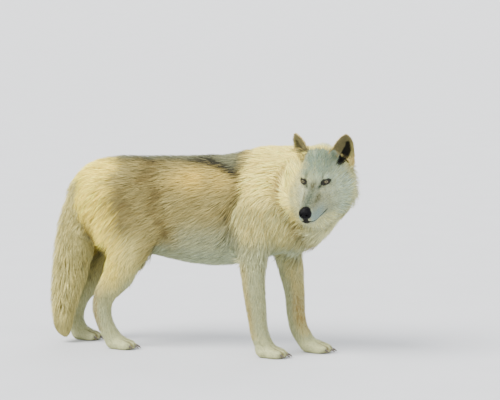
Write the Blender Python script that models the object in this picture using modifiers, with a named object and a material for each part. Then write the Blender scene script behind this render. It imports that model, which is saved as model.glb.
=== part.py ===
"""An arctic wolf at life size, standing on four feet with its head turned to its right.

Metres, +Z up. +X is the way the trunk points, +Y the wolf's left, and the soles are at Z = 0.
The outer surface of the winter coat is built whole, from lofts and ellipsoids that follow the
animal's masses, fused and smoothed, and then parted into named pieces by thin curved cuts.
Eyes, nose, ears and claws are pieces of their own.
"""

import math

import bmesh
import bpy
from mathutils import Euler, Matrix, Vector

# Driving dimensions
WITHERS = 0.745  # height of the coat over the shoulders
TRUNK_LENGTH = 0.95  # chest to rump
EYE_RADIUS = 0.0125
EYE_SPACING = 0.080  # between the centres of the eyes
EYE_SET_BACK = 0.009  # how far behind their midpoint's plane the eyes' centres lie
EYE_SPLAY = math.radians(24)  # how far outward each eye looks
MUZZLE_LENGTH = 0.142  # from between the eyes to the tip of the nose
EAR_LENGTH = 0.140  # with its root
EAR_WIDTH = 0.102
EAR_DEPTH = 0.026  # of the hollow, at the root
EAR_THICKNESS = 0.011
EAR_TURN = math.radians(34)  # how far outward the hollow faces
PAW_LENGTH = 0.125
GAP = 0.0003  # between neighbouring pieces

# Where the head is: a point midway between the eyes, and the way the face points
EYES_MIDPOINT = Vector((0.540, -0.170, 0.648))
HEAD_YAW = math.radians(-90)
HEAD_PITCH = math.radians(20)  # nose down

# How finely the coat's surface is made
VOXEL = 0.0045
BROAD_SMOOTHING = 60
FINE_SMOOTHING = 7
COAT_TRIANGLES = 4000
FACE_KEEPING = 0.010  # how strongly the face is kept from being thinned out
NOSE_TRIANGLES = 160
FACE_MIDDLE = Vector((0.060, 0.0, -0.045))  # in the head's axes; kept from the broad smoothing
FACE_REACH = 0.138

LEFT, RIGHT = 1, -1
SIDES = {"left": LEFT, "right": RIGHT}

# The trunk from rump to chest: x, top, bottom and half width, as shares of its length and
# of the height at the withers
TRUNK = [
    (-0.492, 0.795, 0.700, 0.030),
    (-0.470, 0.862, 0.640, 0.075),
    (-0.430, 0.922, 0.585, 0.115),
    (-0.365, 0.952, 0.535, 0.145),
    (-0.280, 0.965, 0.500, 0.158),
    (-0.165, 0.967, 0.468, 0.165),
    (-0.040, 0.971, 0.436, 0.180),
    (0.060, 0.978, 0.421, 0.192),
    (0.160, 0.980, 0.421, 0.196),
    (0.235, 1.010, 0.442, 0.192),
    (0.315, 1.028, 0.466, 0.188),
    (0.395, 1.010, 0.500, 0.170),
    (0.455, 0.955, 0.545, 0.130),
    (0.490, 0.870, 0.610, 0.080),
]

# The neck from the shoulders to the back of the skull: x, y, z, half height and half width
NECK = [
    (0.180, 0.000, 0.575, 0.145, 0.120),
    (0.290, 0.000, 0.585, 0.172, 0.142),
    (0.390, 0.000, 0.600, 0.165, 0.145),
    (0.465, -0.012, 0.612, 0.155, 0.142),
    (0.520, -0.045, 0.630, 0.142, 0.132),
    (0.540, -0.080, 0.640, 0.115, 0.115),
]

# The head from the nose back: forward of the eyes as a share of the muzzle, top, bottom,
# half width and how much narrower it is above than below
HEAD = [
    (0.945, -0.056, -0.092, 0.016, 0.00),
    (0.900, -0.047, -0.106, 0.0265, 0.00),
    (0.780, -0.037, -0.114, 0.0330, 0.05),
    (0.580, -0.028, -0.118, 0.037, 0.10),
    (0.350, -0.017, -0.121, 0.043, 0.18),
    (0.150, 0.002, -0.128, 0.056, 0.24),
    (-0.050, 0.028, -0.137, 0.075, 0.26),
    (-0.260, 0.054, -0.148, 0.096, 0.32),
    (-0.480, 0.075, -0.158, 0.114, 0.45),
    (-0.720, 0.089, -0.163, 0.122, 0.52),
    (-0.960, 0.096, -0.158, 0.121, 0.50),
    (-1.200, 0.086, -0.140, 0.106, 0.34),
]

# Each leg from the top down: x, y, z, half depth fore and aft, and half width
FORELEG = {
    "right": [
        (0.250, -0.085, 0.560, 0.090, 0.050),
        (0.275, -0.098, 0.460, 0.085, 0.050),
        (0.285, -0.097, 0.370, 0.066, 0.047),
        (0.282, -0.092, 0.300, 0.051, 0.043),
        (0.287, -0.088, 0.220, 0.043, 0.038),
        (0.296, -0.085, 0.140, 0.038, 0.035),
        (0.303, -0.085, 0.090, 0.036, 0.034),
        (0.322, -0.085, 0.045, 0.037, 0.036),
    ],
    "left": [
        (0.270, 0.085, 0.560, 0.090, 0.050),
        (0.320, 0.098, 0.460, 0.085, 0.050),
        (0.352, 0.097, 0.370, 0.068, 0.047),
        (0.366, 0.092, 0.290, 0.052, 0.043),
        (0.379, 0.088, 0.220, 0.040, 0.038),
        (0.385, 0.085, 0.140, 0.037, 0.035),
        (0.397, 0.085, 0.085, 0.036, 0.034),
        (0.424, 0.085, 0.045, 0.037, 0.036),
    ],
}
HINDLEG = {
    "right": [
        (-0.290, -0.075, 0.590, 0.120, 0.050),
        (-0.240, -0.090, 0.480, 0.140, 0.055),
        (-0.205, -0.098, 0.390, 0.125, 0.053),
        (-0.222, -0.097, 0.320, 0.086, 0.047),
        (-0.264, -0.093, 0.254, 0.058, 0.039),
        (-0.305, -0.089, 0.200, 0.045, 0.032),
        (-0.318, -0.085, 0.150, 0.040, 0.031),
        (-0.310, -0.083, 0.105, 0.035, 0.031),
        (-0.292, -0.082, 0.065, 0.034, 0.033),
        (-0.272, -0.082, 0.040, 0.035, 0.035),
    ],
    "left": [
        (-0.300, 0.075, 0.590, 0.120, 0.050),
        (-0.285, 0.090, 0.480, 0.135, 0.055),
        (-0.322, 0.103, 0.385, 0.136, 0.048),
        (-0.370, 0.103, 0.305, 0.100, 0.042),
        (-0.418, 0.099, 0.245, 0.062, 0.037),
        (-0.470, 0.089, 0.186, 0.042, 0.032),
        (-0.494, 0.087, 0.135, 0.036, 0.031),
        (-0.503, 0.086, 0.095, 0.034, 0.031),
        (-0.500, 0.086, 0.060, 0.034, 0.033),
        (-0.486, 0.086, 0.040, 0.035, 0.035),
    ],
}

# The middle of each paw, and its half width
PAWS = {
    "foreleg_right": (0.352, -0.085, 0.047),
    "foreleg_left": (0.466, 0.087, 0.047),
    "hindleg_right": (-0.240, -0.082, 0.042),
    "hindleg_left": (-0.456, 0.088, 0.042),
}

# The tail from its root to its tip: x, y, z, half depth and half width
TAIL = [
    (-0.400, 0.000, 0.630, 0.050, 0.050),
    (-0.435, -0.004, 0.590, 0.048, 0.050),
    (-0.458, -0.010, 0.530, 0.049, 0.048),
    (-0.463, -0.013, 0.450, 0.067, 0.056),
    (-0.462, -0.015, 0.360, 0.081, 0.062),
    (-0.480, -0.016, 0.270, 0.074, 0.058),
    (-0.498, -0.017, 0.180, 0.060, 0.050),
    (-0.506, -0.018, 0.110, 0.050, 0.042),
    (-0.505, -0.018, 0.065, 0.038, 0.034),
    (-0.496, -0.018, 0.036, 0.022, 0.020),
    (-0.490, -0.018, 0.022, 0.009, 0.009),
]


# The cells that the legs are parted by, above the foot's, for the left side: x, y, z, half
# depth and half width
FORELEG_CELL = [
    (0.320, 0.182, 0.290, 0.170, 0.146),
    (0.315, 0.175, 0.350, 0.125, 0.132),
    (0.300, 0.172, 0.450, 0.112, 0.122),
    (0.285, 0.170, 0.550, 0.088, 0.104),
    (0.275, 0.166, 0.620, 0.020, 0.050),
]
HINDLEG_CELL = [
    (-0.345, 0.182, 0.260, 0.220, 0.146),
    (-0.300, 0.175, 0.350, 0.170, 0.130),
    (-0.285, 0.172, 0.450, 0.150, 0.120),
    (-0.288, 0.170, 0.550, 0.112, 0.100),
    (-0.292, 0.166, 0.620, 0.030, 0.050),
]
FOOT_CELL = (0.180, 0.300, 0.158)  # y, half depth and half width; its x is the paw's
HEAD_CELL = ((0.040, 0.0, -0.025), (0.200, 0.185, 0.175))  # centre and radii, in the head's axes
PAW_TOP = 0.058


def clear_scene():
    for obj in list(bpy.data.objects):
        bpy.data.objects.remove(obj, do_unlink=True)


def make_collection(name):
    collection = bpy.data.collections.new(name)
    bpy.context.scene.collection.children.link(collection)
    return collection


def make_material(name, colour, roughness):
    material = bpy.data.materials.new(name)
    material.use_nodes = True
    shader = material.node_tree.nodes["Principled BSDF"]
    shader.inputs["Base Color"].default_value = (*colour, 1.0)
    shader.inputs["Roughness"].default_value = roughness
    shader.inputs["Metallic"].default_value = 0.0
    material.diffuse_color = (*colour, 1.0)
    return material


def head_frame():
    """The head's own axes: x forward along the face, y to the wolf's left, z up."""
    turn = Euler((0.0, HEAD_PITCH, HEAD_YAW), "XYZ").to_matrix().to_4x4()
    return Matrix.Translation(EYES_MIDPOINT) @ turn


# Shapes


def add_object(name, bm, collection):
    bmesh.ops.recalc_face_normals(bm, faces=bm.faces)
    mesh = bpy.data.meshes.new(name)
    bm.to_mesh(mesh)
    bm.free()
    obj = bpy.data.objects.new(name, mesh)
    collection.objects.link(obj)
    return obj


def smooth_stations(stations, steps=4):
    """More stations between the given ones, on Catmull-Rom curves through them."""
    points = [stations[0], *stations, stations[-1]]
    found = []
    for before, start, end, after in zip(points, points[1:], points[2:], points[3:]):
        for step in range(steps):
            t = step / steps
            found.append(
                tuple(
                    0.5
                    * (
                        2 * b
                        + (c - a) * t
                        + (2 * a - 5 * b + 4 * c - d) * t**2
                        + (3 * b - a - 3 * c + d) * t**3
                    )
                    for a, b, c, d in zip(before, start, end, after)
                )
            )
    return [*found, stations[-1]]


def ring(centre, across, up, half_width, rise, drop, taper=0.0, corners=24):
    """An egg-shaped section: rise and drop are its reach above and below the centre."""
    points = []
    for corner in range(corners):
        angle = 2 * math.pi * corner / corners
        height = math.sin(angle)
        width = half_width * math.cos(angle) * (1 - taper * height)
        points.append(centre + across * width + up * (height * (rise if height > 0 else drop)))
    return points


def loft(name, rings, collection):
    """A closed skin over a row of sections."""
    bm = bmesh.new()
    rows = [[bm.verts.new(point) for point in points] for points in rings]
    for row, following in zip(rows, rows[1:]):
        for i in range(len(row)):
            j = (i + 1) % len(row)
            bm.faces.new((row[i], row[j], following[j], following[i]))
    bm.faces.new(rows[0])
    bm.faces.new(rows[-1])
    bmesh.ops.triangulate(bm, faces=bm.faces)
    return add_object(name, bm, collection)


def limb(name, stations, collection, steps=4, corners=24):
    """A loft along a bent path. Each station is x, y, z, half depth and half width."""
    rows = smooth_stations(stations, steps)
    centres = [Vector(row[:3]) for row in rows]
    rings = []
    for i, row in enumerate(rows):
        along = (centres[min(i + 1, len(rows) - 1)] - centres[max(i - 1, 0)]).normalized()
        across = (Vector((0, 1, 0)) - along * along.y).normalized()
        depth, width = row[3], row[4]
        up = along.cross(across)
        rings.append(ring(centres[i], across, up, width, depth, depth, corners=corners))
    return loft(name, rings, collection)


def ellipsoid(name, centre, radii, collection, frame=None, segments=24, turn=(0, 0, 0)):
    """A scaled sphere, placed in the given frame and turned about its own centre."""
    bm = bmesh.new()
    bmesh.ops.create_uvsphere(bm, u_segments=segments, v_segments=segments // 2, radius=1.0)
    place = Matrix.Translation(Vector(centre)) @ Euler(turn).to_matrix().to_4x4()
    bm.transform((frame or Matrix()) @ place @ Matrix.Diagonal((*radii, 1.0)))
    return add_object(name, bm, collection)


def box(name, low, high, collection):
    bm = bmesh.new()
    bmesh.ops.create_cube(bm, size=1.0)
    low, high = Vector(low), Vector(high)
    size = Matrix.Diagonal((*(high - low), 1.0))
    bm.transform(Matrix.Translation((low + high) / 2) @ size)
    return add_object(name, bm, collection)


# The masses of the body


def make_trunk(helpers):
    rings = []
    for share, top, bottom, width in smooth_stations(TRUNK):
        top, bottom = top * WITHERS, bottom * WITHERS
        middle = bottom + 0.55 * (top - bottom)
        centre = Vector((share * TRUNK_LENGTH, 0, middle))
        across, up = Vector((0, 1, 0)), Vector((0, 0, 1))
        rings.append(
            ring(centre, across, up, width * WITHERS, top - middle, middle - bottom, taper=0.12)
        )
    masses = [loft("trunk_barrel", rings, helpers)]
    for side in SIDES.values():
        masses += [
            ellipsoid("haunch", (-0.270, side * 0.082, 0.520), (0.150, 0.060, 0.150), helpers),
            ellipsoid("shoulder", (0.275, side * 0.092, 0.520), (0.105, 0.058, 0.170), helpers),
        ]
    masses.append(ellipsoid("chest_ruff", (0.425, 0.0, 0.480), (0.085, 0.110, 0.120), helpers))
    masses.append(ellipsoid("rump", (-0.385, 0.0, 0.600), (0.085, 0.080, 0.085), helpers))
    return masses


def make_neck(helpers):
    rows = smooth_stations(NECK)
    centres = [Vector(row[:3]) for row in rows]
    rings = []
    for i, row in enumerate(rows):
        along = (centres[min(i + 1, len(rows) - 1)] - centres[max(i - 1, 0)]).normalized()
        across = Vector((0, 0, 1)).cross(along).normalized()
        rings.append(ring(centres[i], across, along.cross(across), row[4], row[3], row[3]))
    return [
        loft("neck_barrel", rings, helpers),
        ellipsoid("throat_ruff", (0.500, -0.045, 0.540), (0.095, 0.105, 0.100), helpers),
        ellipsoid("bib", (0.460, -0.015, 0.500), (0.095, 0.105, 0.105), helpers),
        ellipsoid("throat", (0.530, -0.080, 0.535), (0.080, 0.085, 0.085), helpers),
    ]


def make_head(helpers):
    frame = head_frame()
    turn = frame.to_3x3()
    across, up = turn @ Vector((0, 1, 0)), turn @ Vector((0, 0, 1))
    rings = []
    for share, top, bottom, width, taper in smooth_stations(HEAD):
        middle = (top + bottom) / 2
        half = (top - bottom) / 2
        centre = frame @ Vector((share * MUZZLE_LENGTH, 0, middle))
        rings.append(ring(centre, across, up, width, half, half, taper))
    masses = [loft("skull", rings, helpers)]
    for side in SIDES.values():
        masses += [
            ellipsoid("cheek", (-0.095, side * 0.085, -0.080), (0.060, 0.056, 0.075), helpers, frame),
            ellipsoid("brow", (-0.024, side * 0.036, 0.014), (0.028, 0.028, 0.013), helpers, frame),
            ellipsoid(
                "orbit",
                eye_centre(side) - 0.004 * eye_axis(side),
                (0.0120, 0.027, 0.022),
                helpers,
                frame,
                turn=(0, 0, side * EYE_SPLAY),
            ),
        ]
    masses.append(ellipsoid("chin_ruff", (-0.072, 0, -0.116), (0.085, 0.100, 0.058), helpers, frame))
    masses.append(ellipsoid("crown", (-0.108, 0, 0.070), (0.048, 0.058, 0.026), helpers, frame))
    return masses


def eye_centre(side):
    """In the head's axes, like the two below."""
    return Vector((-EYE_SET_BACK, side * EYE_SPACING / 2, 0.0))


def eye_axis(side):
    return Vector((math.cos(EYE_SPLAY), side * math.sin(EYE_SPLAY), 0.0))


def toe_places(leg):
    """The toes' centres and how far each one reaches forward."""
    x, y, half_width = PAWS[leg]
    spread = half_width / 2.35
    places = []
    for number in range(4):
        offset = number - 1.5
        forward = 0.030 if abs(offset) < 1 else 0.014
        places.append((Vector((x + forward, y + offset * spread, 0.017)), offset))
    return places


def make_paw(leg, helpers):
    x, y, half_width = PAWS[leg]
    masses = [
        ellipsoid(
            "paw_back",
            (x - 0.018, y, 0.024),
            (PAW_LENGTH * 0.40, half_width * 0.86, 0.030),
            helpers,
        )
    ]
    for centre, offset in toe_places(leg):
        turn = (0, 0, math.radians(4 * offset))
        radii = (0.033, half_width * 0.36, 0.021)
        masses.append(ellipsoid("toe", centre, radii, helpers, turn=turn))
    return masses


def make_coat(helpers):
    """The whole outer surface, as one closed mesh that stands on flat soles."""
    masses = [*make_trunk(helpers), *make_neck(helpers), *make_head(helpers)]
    for side in SIDES:
        masses.append(limb("foreleg", FORELEG[side], helpers))
        masses.append(limb("hindleg", HINDLEG[side], helpers))
    for leg in PAWS:
        masses += make_paw(leg, helpers)
    masses.append(limb("tail", TAIL, helpers))
    coat = join(masses, "coat", helpers)
    remesh = coat.modifiers.new("fuse", "REMESH")
    remesh.mode = "VOXEL"
    remesh.voxel_size = VOXEL
    apply_modifiers(coat)
    smooth_coat(coat)
    below_floor = box("below_floor", (-1, -1, -1), (1, 1, 0), helpers)
    cut(coat, below_floor, "DIFFERENCE")
    return coat


def smooth_coat(coat):
    """Melts the masses into each other, broadly on the body and lightly on the face and feet."""
    broad = coat.vertex_groups.new(name="broad")
    thinned = coat.vertex_groups.new(name="thinned")
    to_head = head_frame().inverted()
    for vertex in coat.data.vertices:
        from_face = (to_head @ vertex.co - FACE_MIDDLE).length
        on_face = min(1.0, max(0.0, (FACE_REACH - from_face) / 0.05))
        on_leg = min(1.0, max(0.0, (0.30 - vertex.co.z) / 0.12))
        broad.add([vertex.index], 1.0 - max(on_face, 0.85 * on_leg), "REPLACE")
        thinned.add([vertex.index], 1.0 - 0.9 * on_face, "REPLACE")
    for name, group, iterations in (
        ("broad", "broad", BROAD_SMOOTHING),
        ("fine", "", FINE_SMOOTHING),
    ):
        smooth = coat.modifiers.new(name, "SMOOTH")
        smooth.factor = 0.5
        smooth.iterations = iterations
        smooth.vertex_group = group
    apply_modifiers(coat)
    thin_out(coat, COAT_TRIANGLES, "thinned")


# Ears, eyes, nose and claws


def ear_frame(side):
    """The ear's root in the head's frame: x the way its hollow faces, z towards its tip."""
    towards_tip = Vector((-0.12, side * 0.20, 1.0)).normalized()
    facing = Vector((math.cos(EAR_TURN), side * math.sin(EAR_TURN), 0.0))
    facing = (facing - towards_tip * facing.dot(towards_tip)).normalized()
    across = towards_tip.cross(facing)
    frame = Matrix((facing, across, towards_tip)).transposed().to_4x4()
    frame.translation = (-0.110, side * 0.063, -0.002)
    return frame


def make_ear(side, pieces):
    """A cupped leaf, hollow in front, from a crescent section that narrows to a round tip."""
    frame = head_frame() @ ear_frame(side)
    rows, columns = 8, 6
    rings = []
    for row in range(rows + 1):
        height = math.sin(math.pi / 2 * row / rows)
        half_width = EAR_WIDTH / 2 * (1 - height**2.6) ** 0.65 + 0.0025
        depth = EAR_DEPTH * (1 - 0.75 * height)
        curl = 0.012 * height**2
        front, back = [], []
        for column in range(columns + 1):
            across = -math.cos(math.pi * column / columns)
            hollow = -depth * (1 - across**2) + curl
            half_thickness = EAR_THICKNESS / 2 * (0.25 + 0.75 * (1 - across**6)) * (1 - 0.4 * height)
            y, z = across * half_width, height * EAR_LENGTH
            front.append(frame @ Vector((hollow + half_thickness, y, z)))
            back.append(frame @ Vector((hollow - half_thickness, y, z)))
        rings.append([*front, *reversed(back)])
    return loft(f"ear_{side_name(side)}", rings, pieces)


def side_name(side):
    return "left" if side == LEFT else "right"


def make_eye(side, pieces):
    name = f"eye_{side_name(side)}"
    return ellipsoid(name, eye_centre(side), (EYE_RADIUS,) * 3, pieces, head_frame(), 14)


def make_nose(pieces, helpers):
    """The bare pad on the end of the muzzle."""
    frame = head_frame()
    masses = [
        ellipsoid("pad", (0.132, 0, -0.062), (0.0155, 0.0225, 0.0190), helpers, frame, 20),
        ellipsoid("bridge", (0.126, 0, -0.052), (0.018, 0.0175, 0.012), helpers, frame, 20),
    ]
    nose = join(masses, "nose", pieces)
    remesh = nose.modifiers.new("fuse", "REMESH")
    remesh.mode = "VOXEL"
    remesh.voxel_size = 0.0016
    smooth = nose.modifiers.new("smooth", "SMOOTH")
    smooth.iterations = 4
    apply_modifiers(nose)
    thin_out(nose, NOSE_TRIANGLES)
    return nose


def make_claw(leg, number, collection):
    """A blunt curved claw at the front of a toe."""
    centre, offset = toe_places(leg)[number]
    start = centre + Vector((0.018, 0.0012 * offset, 0.002))
    rings = []
    for step, radius in enumerate((0.0044, 0.0041, 0.0032, 0.0018)):
        t = step / 3
        place = start + Vector((0.0250 * t, 0.001 * offset * t, -0.0120 * t**1.7))
        across, up = Vector((0, 1, 0)), Vector((0.45 * t, 0, 1)).normalized()
        rings.append(ring(place, across, up, radius * 0.8, radius, radius, corners=6))
    return loft(f"claw_{leg}_{number + 1}", rings, collection)


# Joining, cutting and parting


def join(objects, name, collection):
    """One object that holds every face of the given ones."""
    bm = bmesh.new()
    for obj in objects:
        bm.from_mesh(obj.data)
        bpy.data.objects.remove(obj)
    return add_object(name, bm, collection)


def apply_modifiers(obj):
    graph = bpy.context.evaluated_depsgraph_get()
    mesh = bpy.data.meshes.new_from_object(obj.evaluated_get(graph))
    obj.modifiers.clear()
    obj.data = mesh


def cut(obj, cutter, operation):
    modifier = obj.modifiers.new("cut", "BOOLEAN")
    modifier.object = cutter
    modifier.operation = operation
    modifier.solver = "EXACT"
    apply_modifiers(obj)


def thin_out(obj, triangles, group=""):
    """Leaves about the given number of triangles."""
    decimate = obj.modifiers.new("decimate", "DECIMATE")
    decimate.vertex_group = group
    decimate.vertex_group_factor = FACE_KEEPING
    decimate.ratio = triangles / sum(len(face.vertices) - 2 for face in obj.data.polygons)
    apply_modifiers(obj)


def copy_of(obj, name, collection):
    copy = bpy.data.objects.new(name, obj.data.copy())
    collection.objects.link(copy)
    return copy


def grown(obj, distance, helpers):
    """A copy whose surface lies that far outside the given one's."""
    bm = bmesh.new()
    bm.from_mesh(obj.data)
    bm.normal_update()
    shifts = [v.normal * distance * min(v.calc_shell_factor(), 3.0) for v in bm.verts]
    for vertex, shift in zip(bm.verts, shifts):
        vertex.co += shift
    return add_object(f"{obj.name}_grown", bm, helpers)


def cut_clear(obj, neighbour, helpers):
    """Takes the neighbour's room, and the gap round it, out of the piece."""
    cut(obj, grown(neighbour, GAP, helpers), "DIFFERENCE")


def part_off(rest, name, cell, helpers, pieces):
    """Takes what lies in the cell from the rest, leaving a gap, and returns it as a piece."""
    piece = copy_of(rest, name, pieces)
    cut(piece, cell, "INTERSECT")
    cut(rest, grown(cell, GAP, helpers), "DIFFERENCE")
    return piece


def tail_cell(helpers):
    """A sleeve round the tail, from just below its root."""
    sleeve = [(x, y, z, depth + 0.006, width + 0.006) for x, y, z, depth, width in TAIL[1:]]
    x, y, z, depth, width = sleeve[-1]
    sleeve.append((x + 0.004, y, z - 0.016, depth, width))
    return limb("tail_cell", sleeve, helpers, steps=1, corners=12)


def leg_cell(leg, stations, side, helpers):
    """A column that holds the leg, from below the floor up to a lens over its muscle."""
    y, depth, width = FOOT_CELL
    foot = [(PAWS[leg][0], y, z, depth, width) for z in (-0.02, 0.19)]
    across, along = Vector((0, 1, 0)), Vector((1, 0, 0))
    rings = [
        ring(Vector((x, side * y, z)), across, along, width, depth, depth, corners=14)
        for x, y, z, depth, width in [*foot, *stations]
    ]
    return loft("leg_cell", rings, helpers)


def neck_cell(helpers):
    """Everything in front of a plane that leans back from the chest to the withers."""
    cell = box("neck_cell", (0.0, -0.4, -0.5), (0.8, 0.4, 0.6), helpers)
    lean = Matrix.Rotation(math.radians(-24), 4, "Y")
    cell.data.transform(Matrix.Translation((0.375, 0.0, 0.560)) @ lean)
    return cell


def part_body(coat, helpers, pieces):
    """Splits the coat's solid into the body's parts, and returns them by name."""
    parts = {}

    def take(name, cell, rest=coat):
        parts[name] = part_off(rest, name, cell, helpers, pieces)

    take("tail", tail_cell(helpers))
    centre, radii = HEAD_CELL
    take("head", ellipsoid("head_cell", centre, radii, helpers, head_frame(), 16))
    for name, side in SIDES.items():
        for leg, stations in (("foreleg", FORELEG_CELL), ("hindleg", HINDLEG_CELL)):
            leg = f"{leg}_{name}"
            take(leg, leg_cell(leg, stations, side, helpers))
    take("neck", neck_cell(helpers))
    for leg in PAWS:
        cell = box("paw_cell", (-1, -1, -1), (1, 1, PAW_TOP), helpers)
        take(f"paw_{leg}", cell, parts[leg])
    parts["trunk"] = copy_of(coat, "trunk", pieces)
    return parts


def finish_piece(obj, material):
    obj.data.materials.clear()
    obj.data.materials.append(material)
    obj.data.shade_smooth()
    obj.data.set_sharp_from_angle(angle=math.radians(50))


def centre_on_floor(objects):
    """Puts the middle of the whole at X = 0, Y = 0 and its lowest point at Z = 0."""
    corners = [vertex.co for obj in objects for vertex in obj.data.vertices]
    low = Vector([min(corner[axis] for corner in corners) for axis in range(3)])
    high = Vector([max(corner[axis] for corner in corners) for axis in range(3)])
    middle = (low + high) / 2
    shift = Matrix.Translation((-middle.x, -middle.y, -low.z))
    for obj in objects:
        obj.data.transform(shift)


def main():
    clear_scene()
    pieces = make_collection("arctic_wolf")
    helpers = make_collection("helpers")
    helpers.hide_render = True

    fur = make_material("fur", (0.72, 0.66, 0.48), 0.9)
    iris = make_material("iris", (0.35, 0.28, 0.12), 0.15)
    nose_skin = make_material("nose_skin", (0.02, 0.02, 0.022), 0.35)
    horn = make_material("claw_horn", (0.08, 0.07, 0.06), 0.4)

    coat = make_coat(helpers)
    room_for_coat = [copy_of(coat, "coat_whole", helpers), grown(coat, GAP, helpers)]
    parts = part_body(coat, helpers, pieces)
    head = parts["head"]
    nose = make_nose(pieces, helpers)
    cut_clear(head, nose, helpers)
    finish_piece(nose, nose_skin)
    for side in SIDES.values():
        eye = make_eye(side, pieces)
        cut_clear(head, eye, helpers)
        finish_piece(eye, iris)
    for side in SIDES.values():
        ear = make_ear(side, pieces)
        cut(ear, room_for_coat[1], "DIFFERENCE")
        finish_piece(ear, fur)
    for leg in PAWS:
        for number in range(4):
            claw = make_claw(leg, number, pieces)
            for room in room_for_coat:
                cut(claw, room, "DIFFERENCE")
            cut_clear(claw, parts[f"paw_{leg}"], helpers)
            finish_piece(claw, horn)
    for part in parts.values():
        finish_piece(part, fur)

    centre_on_floor(list(pieces.objects))
    for obj in helpers.objects:
        obj.hide_render = True
        obj.display_type = "WIRE"


main()
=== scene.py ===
"""The looks of the standing arctic wolf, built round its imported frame.

One skin stands for every node of flesh and lies under them by the coat's depth. Solid tufts grow
from it along the lie of the coat, out to the solids' outline. Skin and coat take their colours
from one function of place, markings().
"""

import math

import bmesh
import bpy
import numpy as np
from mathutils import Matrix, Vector
from mathutils.bvhtree import BVHTree
from mathutils.kdtree import KDTree


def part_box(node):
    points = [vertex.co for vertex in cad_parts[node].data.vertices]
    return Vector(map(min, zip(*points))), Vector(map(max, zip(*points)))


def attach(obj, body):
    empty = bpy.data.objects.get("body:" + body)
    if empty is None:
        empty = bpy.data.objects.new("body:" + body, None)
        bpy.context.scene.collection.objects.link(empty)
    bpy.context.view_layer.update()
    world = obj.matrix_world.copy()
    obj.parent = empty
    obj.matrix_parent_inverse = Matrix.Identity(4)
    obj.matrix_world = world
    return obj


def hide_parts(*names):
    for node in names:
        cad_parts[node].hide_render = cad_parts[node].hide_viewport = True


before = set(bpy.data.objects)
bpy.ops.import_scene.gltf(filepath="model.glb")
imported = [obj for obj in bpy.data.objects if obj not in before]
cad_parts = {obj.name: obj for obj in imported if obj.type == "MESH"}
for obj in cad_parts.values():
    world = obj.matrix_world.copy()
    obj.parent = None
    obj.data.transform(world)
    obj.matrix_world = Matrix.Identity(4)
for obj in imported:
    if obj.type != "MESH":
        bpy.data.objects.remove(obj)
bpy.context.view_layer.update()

SEED = 7
SIDES = {"left": 1.0, "right": -1.0}
FORELEGS = ("foreleg_left", "foreleg_right")
HINDLEGS = ("hindleg_left", "hindleg_right")
LEGS = FORELEGS + HINDLEGS
PAWS = tuple(f"paw_{leg}" for leg in LEGS)
EARS = {f"ear_{side}": sign for side, sign in SIDES.items()}
FLESH = ("trunk", "neck", "head", "tail", *LEGS, *PAWS, *EARS)
PLUGS = ("eye_left", "eye_right", "nose")  # filled in, so that the skin passes behind them
TOES = (1, 2, 3, 4)
CLAWS = tuple(f"claw_{leg}_{toe}" for leg in LEGS for toe in TOES)

JOIN_GROWTH = 0.0012  # closes the fine gaps between the nodes
SKIN_VOXEL = 0.0045
SKIN_TRIANGLES = 194_000  # once the skin is thinned where the coat hides it
INSET_STEPS = 8
DEPTH_ROUNDS = 14  # of smoothing for the coat's depth
LIE_ROUNDS = 26  # and for its lie
NOSE_VOXEL = 0.0009
NOSE_GROWTH = 0.0020

HEAD_PITCH = math.radians(20)
FORWARD = np.array([0.0, -math.cos(HEAD_PITCH), -math.sin(HEAD_PITCH)])
LEFTWARD = np.array([1.0, 0.0, 0.0])
UPWARD = np.array([0.0, -math.sin(HEAD_PITCH), math.cos(HEAD_PITCH)])
EYE_SET_BACK = 0.009
EYE_SPLAY = math.radians(24)
EYE_RADIUS = 0.0125
EAR_LENGTH = 0.140
EAR_HALF_WIDTH = 0.0535
EAR_TURN = math.radians(34)


def middle(node):
    low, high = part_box(node)
    return (np.array(low) + np.array(high)) / 2


EYES_MIDDLE = (middle("eye_left") + middle("eye_right")) / 2 + EYE_SET_BACK * FORWARD


def to_head(points):
    """Points in the head's own axes: forward, to the wolf's left and up, from between the eyes."""
    offset = np.asarray(points) - EYES_MIDDLE
    return np.stack([offset @ FORWARD, offset @ LEFTWARD, offset @ UPWARD], axis=-1)


def to_half_head(points):
    """As to_head, with the wolf's right side laid over its left."""
    places = to_head(points)
    places[:, 1] = np.abs(places[:, 1])
    return places


def from_head(places):
    places = np.asarray(places, float)
    return EYES_MIDDLE + places[..., :1] * FORWARD + places[..., 1:2] * LEFTWARD + places[..., 2:] * UPWARD


def ramp(values, low, high):
    """0 below low, 1 above high, smooth between. low may be the larger."""
    share = np.clip((values - low) / (high - low), 0, 1)
    return share * share * (3 - 2 * share)


def bump_at(values, centre, spread):
    return np.exp(-(((values - centre) / spread) ** 2))


def blend(a, b, share):
    """From a to b by share. Either may be a colour or place, or rows of them."""
    share = np.asarray(share, float)
    if 3 in (np.shape(a)[-1:] + np.shape(b)[-1:]):
        share = share[..., None]
    return a + (b - a) * share


def unit(vectors):
    return vectors / np.maximum(np.linalg.norm(vectors, axis=-1, keepdims=True), 1e-9)


def wobble(points, size, seed):
    """Smooth noise of about -1 to 1 from a few waves, with features of about this size."""
    rng = np.random.default_rng(seed)
    waves, height = 7, 3.2
    total = np.zeros(len(points))
    for _ in range(waves):
        direction = unit(rng.normal(size=3))
        stretch = 2 * math.pi / (size * rng.uniform(0.8, 2.4))
        total += np.sin(points @ direction * stretch + rng.uniform(0, 6.28))
    return total / height


# Meshes as arrays ---------------------------------------------------------------------------------


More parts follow.
